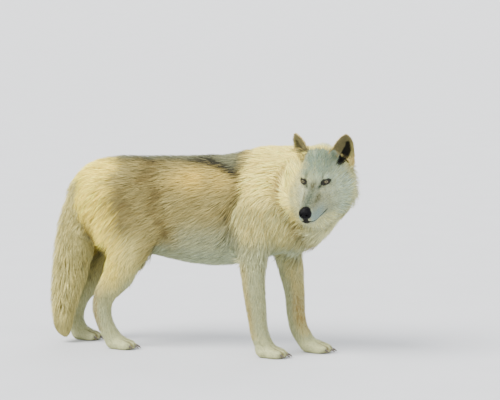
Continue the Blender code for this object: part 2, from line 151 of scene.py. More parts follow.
class Surface:
    """A triangle mesh in arrays, with what smoothing needs."""

    def __init__(self, points, triangles):
        self.points = np.asarray(points, float)
        self.triangles = np.asarray(triangles, int)
        pairs = self.triangles[:, [[0, 1], [1, 2], [2, 0]]].reshape(-1, 2)
        self.edges = np.unique(np.sort(pairs, axis=1), axis=0)
        self.degree = np.bincount(self.edges.ravel(), minlength=len(self.points))

    def face_normals(self):
        a, b, c = (self.points[self.triangles[:, i]] for i in range(3))
        return np.cross(b - a, c - a)

    def normals(self):
        faces = self.face_normals()
        total = np.zeros_like(self.points)
        for corner in range(3):
            for axis in range(3):
                total[:, axis] += np.bincount(self.triangles[:, corner], faces[:, axis], len(self.points))
        return unit(total)

    def around(self, values):
        """The mean of the neighbours' values at each point."""
        first, second = self.edges.T
        count = len(self.points)
        sums = [
            np.bincount(first, column[second], count) + np.bincount(second, column[first], count)
            for column in values.reshape(count, -1).T
        ]
        means = np.stack(sums, axis=-1) / np.maximum(self.degree, 1)[:, None]
        return means.reshape(values.shape)

    def smoothed(self, values, rounds, share=0.5):
        for _ in range(rounds):
            values = values + share * (self.around(values) - values)
        return values

    def tree(self):
        return BVHTree.FromPolygons(self.points.tolist(), self.triangles.tolist())


def mesh_of(name, points, triangles):
    mesh = bpy.data.meshes.new(name)
    mesh.vertices.add(len(points))
    mesh.vertices.foreach_set("co", np.asarray(points, np.float32).ravel())
    mesh.loops.add(len(triangles) * 3)
    mesh.loops.foreach_set("vertex_index", np.asarray(triangles, np.int32).ravel())
    mesh.polygons.add(len(triangles))
    mesh.polygons.foreach_set("loop_start", np.arange(0, len(triangles) * 3, 3, dtype=np.int32))
    mesh.update(calc_edges=True)
    mesh.validate()
    return mesh


def object_of(name, mesh):
    obj = bpy.data.objects.new(name, mesh)
    bpy.context.collection.objects.link(obj)
    return obj


def surface_of(mesh):
    mesh.calc_loop_triangles()
    points = np.empty(len(mesh.vertices) * 3, np.float32)
    mesh.vertices.foreach_get("co", points)
    triangles = np.empty(len(mesh.loop_triangles) * 3, np.int32)
    mesh.loop_triangles.foreach_get("vertices", triangles)
    return Surface(points.reshape(-1, 3), triangles.reshape(-1, 3))


def evaluated(obj):
    """The object's mesh with its modifiers applied. The object itself is removed."""
    depsgraph = bpy.context.evaluated_depsgraph_get()
    mesh = bpy.data.meshes.new_from_object(obj.evaluated_get(depsgraph))
    bpy.data.objects.remove(obj)
    return mesh


def paint(mesh, colours):
    layer = mesh.color_attributes.new("tint", "FLOAT_COLOR", "POINT")
    rows = np.ones((len(mesh.vertices), 4), np.float32)
    rows[:, :3] = colours
    layer.data.foreach_set("color", rows.ravel())


# The skin -----------------------------------------------------------------------------------------


def remeshed(names, growth, voxel, rounds):
    """One smooth surface round the nodes, each pushed out a little so that neighbours meet."""
    whole = bmesh.new()
    for name in names:
        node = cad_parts[name]
        part = bmesh.new()
        part.from_mesh(node.data)
        part.transform(node.matrix_world)
        bmesh.ops.remove_doubles(part, verts=part.verts, dist=1e-5)
        part.normal_update()
        for vert, shift in [(vert, vert.normal * growth) for vert in part.verts]:
            vert.co += shift
        mesh = bpy.data.meshes.new(name)
        part.to_mesh(mesh)
        part.free()
        whole.from_mesh(mesh)
        bpy.data.meshes.remove(mesh)
    mesh = bpy.data.meshes.new("joined")
    whole.to_mesh(mesh)
    whole.free()
    obj = object_of("joined", mesh)
    remesh = obj.modifiers.new("one_surface", "REMESH")
    remesh.mode = "VOXEL"
    remesh.voxel_size = voxel
    surface = surface_of(evaluated(obj))
    surface.points = surface.smoothed(surface.points, rounds)
    return surface


def node_of_points(points):
    """The index in FLESH of the node nearest to each point."""
    rows, faces, owners = [], [], []
    for index, name in enumerate(FLESH):
        node = surface_of(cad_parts[name].data)
        faces.extend((node.triangles + len(rows)).tolist())
        rows.extend(node.points.tolist())
        owners.extend([index] * len(node.triangles))
    tree = BVHTree.FromPolygons(rows, faces)
    owners = np.array(owners)
    nearest = [tree.find_nearest(point)[2] for point in points.tolist()]
    return owners[nearest]


def is_node(owners, *names):
    return np.isin(owners, [FLESH.index(name) for name in names]).astype(float)


def on_body(owners):
    """1 on the trunk and the legs down to the paws."""
    return 1 - is_node(owners, "head", "neck", "tail", *EARS, *PAWS)


BODY_Y = float(middle("trunk")[1])

# How deep the coat is where it is short and where it is long, in metres
COAT = {
    "trunk": (0.026, 0.030),
    "neck": (0.018, 0.034),
    "tail": (0.006, 0.028),
    "forelegs": (0.0085, 0.020),
    "hindlegs": (0.0085, 0.024),
    "paws": (0.0035, 0.0065),
    "ears": (0.0018, 0.0042),
}
HEAD_COAT = 0.0090
FACE_SHORTER = 0.0062
MUZZLE_SHORTER = 0.0012
RUFF_LONGER = 0.011
THROAT_LONGER = 0.012


def coat_depth(points, normals, owners):
    """How far the coat stands over the skin, in metres."""
    x, _, z = points.T
    forward, left, up = to_head(points).T
    face = ramp(forward, -0.115, 0.01)
    muzzle = ramp(forward, 0.02, 0.06)
    ruff = ramp(ruff_reach(np.abs(left), up), 0.62, 0.86)
    ruff = ruff * ramp(forward, 0.05, -0.03) * ramp(up, 0.03, -0.01)
    throat = ramp(up, -0.10, -0.17) * ramp(forward, 0.07, 0.0)
    head = HEAD_COAT - FACE_SHORTER * face - MUZZLE_SHORTER * muzzle
    head = head + blend(RUFF_LONGER * ruff, THROAT_LONGER, throat)
    depth = head * is_node(owners, "head")
    for part, names, long in (
        ("trunk", ["trunk"], ramp(x, 0.05, 0.28)),
        ("neck", ["neck"], ramp(z, 0.76, 0.66)),
        ("tail", ["tail"], ramp(z, 0.03, 0.16)),
        ("forelegs", FORELEGS, ramp(z, 0.22, 0.42)),
        ("hindlegs", HINDLEGS, ramp(z, 0.20, 0.44)),
        ("paws", PAWS, ramp(z, 0.015, 0.05)),
    ):
        depth += blend(*COAT[part], long) * is_node(owners, *names)
    for name, sign in EARS.items():
        low_on_ear = ramp(in_ear(points, sign)[0], 0.75, 0.30)
        depth += blend(*COAT["ears"], low_on_ear) * is_node(owners, name)
    # Thinner between the tail and the thighs, so that no slit opens there
    snug = is_node(owners, "tail") * ramp(normals[:, 0], -0.1, 0.4)
    snug += is_node(owners, *HINDLEGS) * ramp(x, -0.36, -0.39)
    depth *= 1 - 0.7 * snug * ramp(z, 0.32, 0.37) * ramp(z, 0.48, 0.43)
    return depth * blend(0.3, 1.0, ramp(z, 0.002, 0.012))


def lie_of_coat(points, normals, owners):
    """Which way the coat lies at each point, not yet along the surface."""
    x, _, z = points.T
    count = len(points)
    down = np.tile([0.0, 0.0, -1.0], (count, 1))
    back = np.tile([-1.0, 0.0, 0.0], (count, 1))
    side = 1 - np.abs(normals[:, 2])
    under = ramp(normals[:, 2], -0.3, -0.8)

    trunk = back + down * (0.16 + 0.42 * side * (1 - under))[:, None]
    trunk += down * (1.3 * ramp(x, 0.22, 0.40) * (1 - under))[:, None]
    trunk += down * (0.9 * ramp(x, -0.38, -0.52))[:, None]
    neck = np.array([-0.62, 0.22, -0.60]) + 0.55 * unit(points - from_head([-0.10, 0.0, -0.03]))
    tail = down + 0.16 * normals + 0.10 * back
    foreleg = down + 0.28 * back * ramp(z, 0.30, 0.45)[:, None]
    hindleg = down + 0.75 * back * ramp(z, 0.22, 0.42)[:, None]
    paw = np.array([0.75, 0.0, -0.55])
    head = points - from_head([0.165, 0.0, -0.055])

    total = np.zeros((count, 3))
    for vectors, names in (
        (trunk, ["trunk"]),
        (neck, ["neck"]),
        (tail, ["tail"]),
        (foreleg, FORELEGS),
        (hindleg, HINDLEGS),
        (np.tile(paw, (count, 1)), PAWS),
        (head, ["head"]),
    ):
        total += unit(vectors) * is_node(owners, *names)[:, None]
    for name, sign in EARS.items():
        total += ear_axis(sign) * is_node(owners, name)[:, None]
    return total


def toe_gaps(points):
    """How deep in the clefts between a paw's toes each point is, 0 to 1."""
    share = np.zeros(len(points))
    for leg in LEGS:
        claws = [middle(f"claw_{leg}_{toe}") for toe in TOES]
        claws.sort(key=lambda claw: claw[1])
        centre = np.mean(claws, axis=0)
        for first, second in zip(claws, claws[1:]):
            front = (first + second) / 2
            behind = front[0] - points[:, 0]
            line = centre[1] + (front[1] - centre[1]) * (1 - 3.5 * np.clip(behind, 0, 0.08))
            cleft = bump_at(points[:, 1], line, 0.0026) * ramp(behind, 0.062, 0.034)
            near = np.abs(points[:, 1] - centre[1]) < 0.06
            share = np.maximum(share, cleft * near * ramp(behind, -0.03, -0.02))
    return share


# Markings -----------------------------------------------------------------------------------------


def tone(red, green, blue):
    """A linear colour."""
    return np.array([red, green, blue])


FLANK = tone(0.31, 0.26, 0.093)
STRAW = tone(0.62, 0.44, 0.085)
# The coat's own ochre, also used as painted shade in folds, clefts and sheltered places
OCHRE_AND_SHADE = tone(0.145, 0.108, 0.036)
PALE = tone(0.68, 0.60, 0.200)
# Pale haunch, made brighter and warmer as painted light
HAUNCH = tone(0.97, 0.76, 0.130)
IVORY = tone(0.97, 0.82, 0.23)
MANE_LOW = tone(0.65, 0.62, 0.26)
NECK_SHADE = tone(0.36, 0.265, 0.085)
# Painted shade on the breast and inside the legs
SHADOW_TONE = tone(0.24, 0.22, 0.095)
# Pale belly tone, cooled and greyed as painted shade
BELLY = tone(0.40, 0.46, 0.29)
LEG = tone(0.49, 0.50, 0.265)
RUST = tone(0.36, 0.245, 0.080)
TAIL = tone(0.62, 0.55, 0.20)
GREY = tone(0.19, 0.20, 0.115)
DARK_GREY = tone(0.022, 0.020, 0.014)
FACE = tone(0.37, 0.39, 0.235)
CHEEK = tone(0.50, 0.47, 0.20)
# The cheek's tone in painted shade, for the wolf's left side
SHADED_CHEEK = tone(0.49, 0.57, 0.38)
# The pale chin in painted shade
SHADED_CHIN = tone(0.62, 0.62, 0.32)
FOREHEAD = tone(0.180, 0.240, 0.160)
CROWN = tone(0.50, 0.56, 0.36)
FACE_OCHRE = tone(0.100, 0.085, 0.035)
BROW = tone(0.035, 0.045, 0.027)
MUZZLE_TOP = tone(0.055, 0.072, 0.048)
MUZZLE_GREY = tone(0.23, 0.32, 0.285)
EAR_OLIVE = tone(0.215, 0.190, 0.088)
EAR_CREAM = tone(0.38, 0.34, 0.125)
EAR_BACK = tone(0.80, 0.62, 0.20)
BLACKISH = tone(0.008, 0.007, 0.006)
LIP = tone(0.009, 0.008, 0.009)


def stripes(points, flow, across, seed):
    """Noise drawn out along the lie of the coat."""
    return wobble(points - 0.8 * flow * (np.sum(points * flow, axis=1))[:, None], across, seed)


# Where the body's markings end or lie, in metres
MANE_EDGE_X = 0.190
SADDLE_EDGE_Z = 0.710
FOLD_X = -0.094
HAUNCH_EDGE_X = -0.315
WRIST_Z = 0.155

# The closed mouth, from under the nose to its corner on one side, in the head's axes. It is laid
# on the skin once that is made.
MOUTH = np.array(
    [
        [0.1335, 0.0000, -0.0835],
        [0.1320, 0.0000, -0.0930],
        [0.1300, 0.0130, -0.0935],
        [0.1220, 0.0225, -0.0955],
        [0.1030, 0.0275, -0.0975],
        [0.0810, 0.0330, -0.0965],
        [0.0611, 0.0365, -0.0965],
        [0.0479, 0.0420, -0.0930],
        [0.0350, 0.0480, -0.0880],
    ]
)


def lay_mouth_on(tree):
    for row in MOUTH:
        row[:] = to_head(np.array(tree.find_nearest(Vector(from_head(row)))[0]))
    MOUTH[:2, 1] = 0


def gap_to_line(places, line):
    """The distance of each place from a line of points, and how far along it is nearest."""
    best = np.full(len(places), np.inf)
    along = np.zeros(len(places))
    for index in range(len(line) - 1):
        start, step = line[index], line[index + 1] - line[index]
        share = np.clip((places - start) @ step / (step @ step), 0, 1)
        gap = np.linalg.norm(places - start - share[:, None] * step, axis=1)
        nearer = gap < best
        best = np.where(nearer, gap, best)
        along = np.where(nearer, (index + share) / (len(line) - 1), along)
    return best, along


def ear_axis(sign):
    """From an ear's base towards its tip."""
    return unit(-0.12 * FORWARD + sign * 0.20 * LEFTWARD + UPWARD)


def in_ear(points, sign):
    """How high each point is on the ear, 0 to 1, how far outward from its middle, -1 to 1, and
    the direction in which the ear's front faces."""
    root = from_head([-0.110, sign * 0.063, -0.002])
    towards_tip = ear_axis(sign)
    facing = math.cos(EAR_TURN) * FORWARD + sign * math.sin(EAR_TURN) * LEFTWARD
    facing = unit(facing - towards_tip * (facing @ towards_tip))
    outward = sign * np.cross(towards_tip, facing)
    height = (points - root) @ towards_tip / EAR_LENGTH
    half = EAR_HALF_WIDTH * (1 - np.clip(height, 0, 0.98) ** 2.6) ** 0.65
    return height, (points - root) @ outward / half, facing


# The middle of the left ear's dark hollow from its tip down to the head, in the head's axes
EAR_HOLLOW = np.array(
    [
        [-0.1284, 0.0954, 0.0979],
        [-0.1317, 0.0923, 0.0771],
        [-0.1318, 0.0836, 0.0576],
        [-0.1303, 0.0731, 0.0386],
        [-0.1160, 0.0695, 0.0370],
    ]
)


def ear_hollow(places):
    """How deep in an ear's narrow dark hollow a place is, 0 to 1. Left counts as positive, and
    how far forward it is counts little."""
    flattened = np.array([0.3, 1.0, 1.0])
    gap, along = gap_to_line(places * flattened, EAR_HOLLOW * flattened)
    half = 0.0065 + 0.0065 * ramp(along, 0.0, 0.40) - 0.0025 * ramp(along, 0.80, 1.0)
    return ramp(gap, half + 0.0030, half - 0.0025) * ramp(places[:, 0], -0.080, -0.095)


def dark_in_ear(points, normals, owners, name, sign):
    """How dark an ear's hollow makes each point, 0 to 1: its dark hair with painted shade. The ear's back
    stays pale.
    """
    places = to_head(points) * [1.0, sign, 1.0]
    front = ramp(normals @ in_ear(points, sign)[2], 0.0, 0.4)
    at_base = ramp(places[:, 2], 0.064, 0.050) * ramp(places[:, 0], -0.155, -0.143)
    front = np.maximum(front, at_base)
    seen = np.maximum(is_node(owners, name) * front, is_node(owners, "head", "neck"))
    return seen * ear_hollow(places)


RUFF_HALF_WIDTH, RUFF_RISE, RUFF_DROP = 0.140, 0.140, 0.185
RUFF_MIDDLE_UP = -0.06


def ruff_reach(side, up):
    """How far out on the round of the face a place is: the ruff's outer edge is at about 1."""
    tall = np.where(up > RUFF_MIDDLE_UP, RUFF_RISE, RUFF_DROP)
    return np.sqrt((side / RUFF_HALF_WIDTH) ** 2 + ((up - RUFF_MIDDLE_UP) / tall) ** 2)


def body_markings(colour, points, normals, owners, fine, broad):
    """Trunk, thighs and the tops of the forelegs: pale haunch with painted light, ochre folds with painted
    shade, grizzled back.
    """
    x, y, z = points.T
    body = on_body(owners)

    def add(tint, share, most=1.0):
        return blend(colour, tint, body * np.clip(share, 0, most))

    # The lower flank takes half the belly's pale tone, greyed as painted shade
    low_flank = ramp(z, 0.52, 0.42) * ramp(x, -0.12, 0.0)
    colour = add(BELLY, 0.5 * low_flank)
    straw = bump_at(x, 0.02, 0.115) * bump_at(z, 0.645, 0.045)
    colour = add(STRAW, 0.85 * straw * (1 + 0.3 * broad))
    colour = add(PALE, ramp(z, 0.47, 0.37) * ramp(x, -0.16, -0.25))
    # Painted shade along the fold between flank and thigh, mixed with the coat's ochre
    fold_x = FOLD_X - 0.35 * (z - 0.377)
    high = ramp(z, 0.50, 0.62)
    fold = bump_at(x, fold_x, 0.032 + 0.024 * high) * ramp(z, 0.33, 0.42)
    patchy = wobble(points, 0.045, 35)
    colour = add(OCHRE_AND_SHADE, (0.60 + 0.25 * high) * fold * (1 + 0.5 * fine + 0.5 * patchy), 0.92)
    patch = bump_at(x, -0.268, 0.045) * bump_at(z, 0.53, 0.090)
    colour = add(OCHRE_AND_SHADE, 0.60 * patch * (1 + 0.6 * fine + 0.4 * patchy), 0.9)
    colour = add(OCHRE_AND_SHADE, 0.22 * np.clip(patchy + 0.6 * fine, 0, 1) * ramp(z, 0.42, 0.50))
    # The pale haunch, painted brighter and warmer at the rear as painted light on the rump
    haunch_x = HAUNCH_EDGE_X - 0.045 * ramp(z, 0.36, 0.56) + 0.018 * broad + 0.016 * fine
    haunch = ramp(x, haunch_x + 0.060, haunch_x - 0.025) * ramp(z, 0.17, 0.25)
    colour = add(HAUNCH, 0.95 * haunch * (1 + 0.12 * fine))

    # The grizzled back: its lower edge is nearly black and drops behind the mane
    edge_z = SADDLE_EDGE_Z - 0.048 * ramp(x, 0.02, 0.19) - 0.10 * ramp(x, -0.34, -0.56) + 0.004 * broad
    above = ramp(z, edge_z - 0.006, edge_z + 0.010) * ramp(x, 0.19, 0.15) * ramp(x, -0.44, -0.32)
    colour = add(GREY, 0.90 * above)
    edge = bump_at(z, edge_z, 0.0125) * ramp(x, 0.195, 0.165) * ramp(x, -0.40, -0.26)
    edge *= 0.34 + 0.66 * ramp(x, -0.07, 0.03)
    grizzle = np.clip(0.55 + 0.6 * fine, 0, 1)
    colour = add(DARK_GREY, (0.32 * above + 1.15 * edge) * (0.35 + grizzle), 0.96)

    # Painted shade inside the legs and where the tail shades the thighs
    tail_shade = body * ramp(x, -0.375, -0.405) * ramp(z, 0.50, 0.44) * ramp(normals[:, 0], -0.1, -0.6)
    colour = blend(colour, OCHRE_AND_SHADE, 0.85 * tail_shade)
    inside = is_node(owners, *LEGS) * ramp(normals[:, 1] * np.sign(y - BODY_Y), -0.1, -0.7)
    colour = blend(colour, SHADOW_TONE, 0.8 * inside * ramp(z, 0.12, 0.20))
    # Undersides take the belly's pale tone, cooled and greyed as painted shade
    return blend(colour, BELLY, body * 0.75 * ramp(normals[:, 2], -0.25, -0.8) * ramp(x, -0.34, -0.26))


def mane_markings(colour, points, owners, fine, broad):
    """The ivory mane over neck and shoulder, painted lighter higher up as painted light, with painted
    shade along its edge behind it and on the breast.
    """
    x, y, z = points.T
    body = on_body(owners)
    mane_edge = MANE_EDGE_X + 0.012 * broad + 0.014 * fine - 0.052 * bump_at(z, 0.505, 0.07)
    # Painted shade behind the mane's edge
    behind = body * bump_at(x, mane_edge - 0.024, 0.015) * ramp(z, 0.38, 0.46)
    colour = blend(colour, OCHRE_AND_SHADE, np.clip(0.50 * behind * (1 + 0.4 * fine), 0, 0.8))
    soft = 1 + 1.2 * ramp(z, 0.69, 0.73) + 0.8 * ramp(y, BODY_Y, BODY_Y + 0.08)
    mane = ramp(x, mane_edge - 0.016 * soft, mane_edge + 0.018 * soft) * body * ramp(z, 0.36, 0.45)
    mane = np.maximum(mane, is_node(owners, "neck"))
    # The mane is painted lighter and warmer higher up: painted light from above
    colour = blend(colour, blend(MANE_LOW, IVORY, ramp(z, 0.50, 0.64)), mane)
    colour = blend(colour, STRAW, mane * np.clip(0.22 + 0.42 * fine, 0, 0.7))
    # Painted shade on the breast under the chin
    return blend(colour, SHADOW_TONE, 0.85 * mane * ramp(x, 0.31, 0.38) * ramp(z, 0.50, 0.43))


def head_markings(colour, points, owners, fine):
    """Short pale face with a grey-green brow, ochre spots and a bright ruff round it; painted light on the
    ruff's right side, painted shade on the left side, under the chin and beside the ruff.
    """
    forward, left, up = to_head(points).T
    side = np.abs(left)
    speckle = wobble(points, 0.006, 33)
    head = is_node(owners, "head", *EARS)
    reach = ruff_reach(side, up)

    # Painted shade: the neck is shaded beside the ruff, and takes the chin's shaded grey right under it
    shaded = is_node(owners, "head", "neck") * ramp(reach, 1.05, 1.10) * ramp(reach, 1.34, 1.14)
    shaded *= ramp(forward, -0.11, -0.06) * ramp(side, 0.045, 0.080) * ramp(up, 0.06, 0.01)
    colour = blend(colour, blend(NECK_SHADE, OCHRE_AND_SHADE, ramp(up, -0.09, -0.17)), 0.85 * shaded)
    below = ramp(side, 0.080, 0.045) * ramp(up, -0.12, -0.15) * ramp(reach, 1.22, 1.08)
    colour = blend(colour, SHADED_CHIN, 0.9 * is_node(owners, "neck") * below)

    # Painted shade on the neck's left side, away from the light
    far = is_node(owners, "neck") * ramp(left, 0.045, 0.085) * ramp(forward, -0.24, -0.16)
    colour = blend(colour, SHADED_CHEEK, 0.65 * far)

    def add(tint, share, most=1.0):
        return blend(colour, tint, head * np.clip(share, 0, most))

    mottle = wobble(points, 0.022, 34)
    colour = add(FACE, ramp(reach, 0.98, 0.86) + ramp(up, -0.01, 0.04) * ramp(side, 0.125, 0.095))
    # The cheek on the wolf's left is painted in shade
    cheek = blend(CHEEK, SHADED_CHEEK, ramp(left, -0.02, 0.04))
    share = ramp(reach, 0.35, 0.72) * (1 + 0.25 * mottle) * ramp(up, 0.07, 0.0)
    colour = add(cheek, share * ramp(reach, 1.03, 0.96))
    # The ruff's right side catches the light
    inner = np.where(left < 0, 0.70, 0.86)
    ruff = ramp(reach, inner, inner + 0.15) * ramp(reach, 1.10, 1.04) * ramp(up, 0.07, 0.01)
    ruff *= blend(0.95, 0.45, ramp(left, 0.0, 0.05))
    # Painted shade under the chin, on the ruff and the jaw
    under_chin = ramp(side, 0.070, 0.025) * ramp(up, -0.09, -0.12)
    colour = add(blend(IVORY, SHADED_CHIN, under_chin), ruff * (1 + 0.2 * fine))
    colour = add(SHADED_CHIN, ramp(up, -0.102, -0.116) * ramp(side, 0.085, 0.050))
    forehead = ramp(up, -0.006, 0.045) * ramp(side, 0.110, 0.030)
    colour = add(FOREHEAD, 0.92 * forehead * (1 + 0.30 * speckle + 0.25 * mottle))
    crown = 0.8 * ramp(forward, -0.095, -0.125) * ramp(side, 0.060, 0.030) * ramp(up, 0.05, 0.07)
    colour = blend(colour, CROWN, is_node(owners, "head", "neck") * crown * ramp(forward, -0.20, -0.16))
    middle_stripe = bump_at(side, 0.0, 0.026) * ramp(up, -0.050, -0.010) * ramp(up, 0.04, 0.0)
    colour = add(FOREHEAD, 0.45 * middle_stripe)
    short = head * ramp(reach, 0.85, 0.60)
    colour = colour * (1 + short * (0.15 * speckle + 0.09 * mottle))[:, None]

    # Ochre between the eyes and beside the bridge, and the dark marks over and inside each eye
    spots = bump_at(side, 0.002, 0.011) * bump_at(up, -0.003, 0.013)
    spots += bump_at(side, 0.027, 0.008) * bump_at(up, -0.034, 0.012)
    colour = add(FACE_OCHRE, 0.85 * spots * (1 + 0.5 * speckle), 0.9)
    marks = 0.75 * bump_at(side, 0.0310, 0.0058) * bump_at(up, 0.0215, 0.0090)
    marks += bump_at(side, 0.0250, 0.0070) * bump_at(up, -0.0075, 0.0065)
    colour = add(BROW, 1.0 * marks, 0.9)

    # The bridge darkens towards the nose, and the lips' sides are bluish
    bridge = bump_at(side, 0.0, 0.026) * ramp(forward, 0.0, 0.04) * ramp(up, -0.090, -0.060)
    darker = 0.40 + 0.50 * ramp(forward, 0.02, 0.08)
    colour = add(MUZZLE_TOP, bridge * darker * (1 + 0.25 * speckle), 0.95)
    lip_side = ramp(forward, 0.020, 0.085) * ramp(up, -0.045, -0.072) * ramp(up, -0.103, -0.097)
    return add(MUZZLE_GREY, 0.80 * lip_side * ramp(side, 0.012, 0.027))


def ear_markings(colour, points, normals, owners):
    """Ochre backs, and olive fronts with cream low on the outer side and a dark hollow of dark hair with
    painted shade.
    """
    for name, sign in EARS.items():
        height, outward, facing = in_ear(points, sign)
        on_ear = is_node(owners, name) * ramp(height, 0.05, 0.30)
        colour = blend(colour, EAR_CREAM, is_node(owners, name))
        front = ramp(normals @ facing, 0.0, 0.4)
        colour = blend(colour, blend(EAR_BACK, GREY, 0.2), on_ear * (1 - front))
        cream = ramp(outward, 0.0, 0.50) * ramp(height, 0.95, 0.60)
        colour = blend(colour, blend(EAR_OLIVE, EAR_CREAM, cream), on_ear * front)
        dark = dark_in_ear(points, normals, owners, name, sign)
        # Dark hair with painted shade in the hollow, weaker on the right ear
        colour = blend(colour, BLACKISH, dark * (0.95 if sign > 0 else 0.60))
    return colour


def markings(points, normals, flow, owners):
    """The coat's colour at each point, as linear rows."""
    z = points[:, 2]
    fine = stripes(points, flow, 0.010, 31)
    broad = wobble(points, 0.09, 32)
    colour = np.tile(FLANK, (len(points), 1))
    colour = body_markings(colour, points, normals, owners, fine, broad)
    colour = mane_markings(colour, points, owners, fine, broad)

    # Legs: pale, with rust on the wrists and down the back of the hocks
    colour = blend(colour, LEG, is_node(owners, *FORELEGS) * ramp(z, 0.43, 0.34))
    colour = blend(colour, LEG, is_node(owners, *HINDLEGS) * ramp(z, 0.34, 0.12))
    warm = is_node(owners, "foreleg_right") * ramp(normals[:, 0], 0.1, -0.6)
    warm += is_node(owners, "foreleg_left") * ramp(normals[:, 0], -0.3, 0.4) * (1 + 0.5 * broad)
    colour = blend(colour, STRAW, np.clip(0.40 * warm * ramp(z, 0.36, 0.30), 0, 0.7))
    turned = normals[:, 0] * np.where(is_node(owners, "foreleg_left") > 0, 1, -1)
    rust = is_node(owners, *FORELEGS) * bump_at(z, WRIST_Z, 0.055) * ramp(turned, -0.3, 0.4)
    behind = ramp(z, 0.27, 0.17) * ramp(z, 0.05, 0.09) * ramp(normals[:, 0], 0.1, -0.5)
    rust = rust * blend(0.5, 1.6, is_node(owners, "foreleg_left"))
    rust += 1.3 * is_node(owners, *HINDLEGS) * behind
    colour = blend(colour, RUST, np.clip(0.45 * rust * (0.9 + 1.8 * fine), 0, 0.85))
    colour = blend(colour, LEG, is_node(owners, *PAWS))
    # Painted shade in the clefts between the toes
    colour = blend(colour, OCHRE_AND_SHADE, 0.75 * is_node(owners, *PAWS) * toe_gaps(points))

    tail = is_node(owners, "tail")
    colour = blend(colour, TAIL, tail)
    colour = blend(colour, OCHRE_AND_SHADE, tail * np.clip(0.16 + 0.30 * fine, 0, 0.6))

    colour = head_markings(colour, points, owners, fine)
    colour = ear_markings(colour, points, normals, owners)

    # Dark lips, and eye rims with painted shade round them
    gap, along = gap_to_line(to_half_head(points), MOUTH)
    reach = 0.0026 + 0.0076 * ramp(along, 0.30, 0.14) + 0.0016 * ramp(along, 0.66, 0.84)
    on_head = is_node(owners, "head")
    colour = blend(colour, LIP, 0.97 * on_head * ramp(gap, reach + 0.0012, reach - 0.0012))
    for sign in SIDES.values():
        colour = blend(colour, BLACKISH, np.clip(on_head * eye_rim_share(points, sign), 0, 0.97))
    return np.clip(colour, 0.002, 0.97)


# Eyelids and face ---------------------------------------------------------------------------------

OPENING_HALF_WIDTH = 0.0106
OPENING_TOP = 0.0076
OPENING_BOTTOM = 0.0070
EYE_TILT = math.radians(6)  # the outer corner is higher


def eye_axes(sign):
    """The eyeball's centre, and unit vectors along its look, to its outer corner and up."""
    centre = middle("eye_left" if sign > 0 else "eye_right")
    look = math.cos(EYE_SPLAY) * FORWARD + sign * math.sin(EYE_SPLAY) * LEFTWARD
    outward = unit(sign * LEFTWARD - look * (sign * LEFTWARD @ look))
    above = UPWARD - look * (UPWARD @ look)
    above = unit(above - outward * (above @ outward))
    tilted_out = math.cos(EYE_TILT) * outward + math.sin(EYE_TILT) * above
    tilted_up = -math.sin(EYE_TILT) * outward + math.cos(EYE_TILT) * above
    return centre, look, tilted_out, tilted_up


def in_eye(points, sign):
    centre, look, outward, above = eye_axes(sign)
    offset = points - centre
    return offset @ look, offset @ outward, offset @ above


def opening(angle):
    """The rim of the eye's opening at an angle: across and up, in metres."""
    across = np.cos(angle)
    height = np.where(np.sin(angle) > 0, OPENING_TOP, OPENING_BOTTOM)
    rise = np.sign(np.sin(angle)) * height * (1 - np.abs(across) ** 1.9) ** 0.85
    inner = np.where(across < 0, 1.12, 1.0)
    return OPENING_HALF_WIDTH * across * inner, rise - 0.0014 * ramp(across, -0.3, -1.0)


def eye_rim_share(points, sign):
    """How dark the rim of the eye makes each point, with painted shade in a wider patch round it."""
    depth, across, height = in_eye(points, sign)
    near = ramp(depth, -0.006, 0.002) * ramp(depth, 0.030, 0.022)
    tall = np.where(height > 0.002, 0.0115, 0.0110)
    reach = np.sqrt(((across + 0.001) / 0.0205) ** 2 + ((height - 0.002) / tall) ** 2)
    shade = np.sqrt(((across + 0.004) / 0.030) ** 2 + ((height - 0.001) / 0.018) ** 2)
    return near * np.maximum(ramp(reach, 1.10, 0.92), 0.40 * ramp(shade, 1.2, 0.45))


def face_lids(skin_tree, sign):
    """Both lids of one eye: rows from the opening's rim, over the eyeball, out under the skin."""
    centre, look, outward, above = eye_axes(sign)
    steps = 56
    rows = (  # share of the opening's size, height over the eyeball, how far it has met the skin
        (0.99, 0.0002, 0.0),
        (1.00, 0.0011, 0.0),
        (1.07, 0.0018, 0.0),
        (1.20, 0.0021, 0.10),
        (1.42, 0.0020, 0.45),
        (1.75, 0.0016, 0.85),
        (2.15, -0.0004, 1.0),
        (2.60, -0.0030, 1.0),
    )
    angles = np.arange(steps) * 2 * math.pi / steps
    across, height = opening(angles)
    points = []
    for share, over, met in rows:
        for x, y in zip(across * share, height * share + 0.0010 * (share - 1) * (height > 0)):
            radius = EYE_RADIUS + over
            on_ball = math.sqrt(max(radius**2 - x**2 - y**2, 0.0))
            flat = centre + outward * x + above * y
            hit = skin_tree.ray_cast(Vector(flat + look * 0.05), Vector(-look), 0.08)[0]
            ground = (np.array(hit) - flat) @ look if hit else on_ball
            points.append(flat + look * blend(on_ball, ground + over, met))
    triangles = []
    for row in range(len(rows) - 1):
        for step in range(steps):
            a, b = row * steps + step, row * steps + (step + 1) % steps
            c, d = a + steps, b + steps
            triangles += [(a, c, b), (b, c, d)] if sign > 0 else [(a, b, c), (b, d, c)]
    return points, triangles


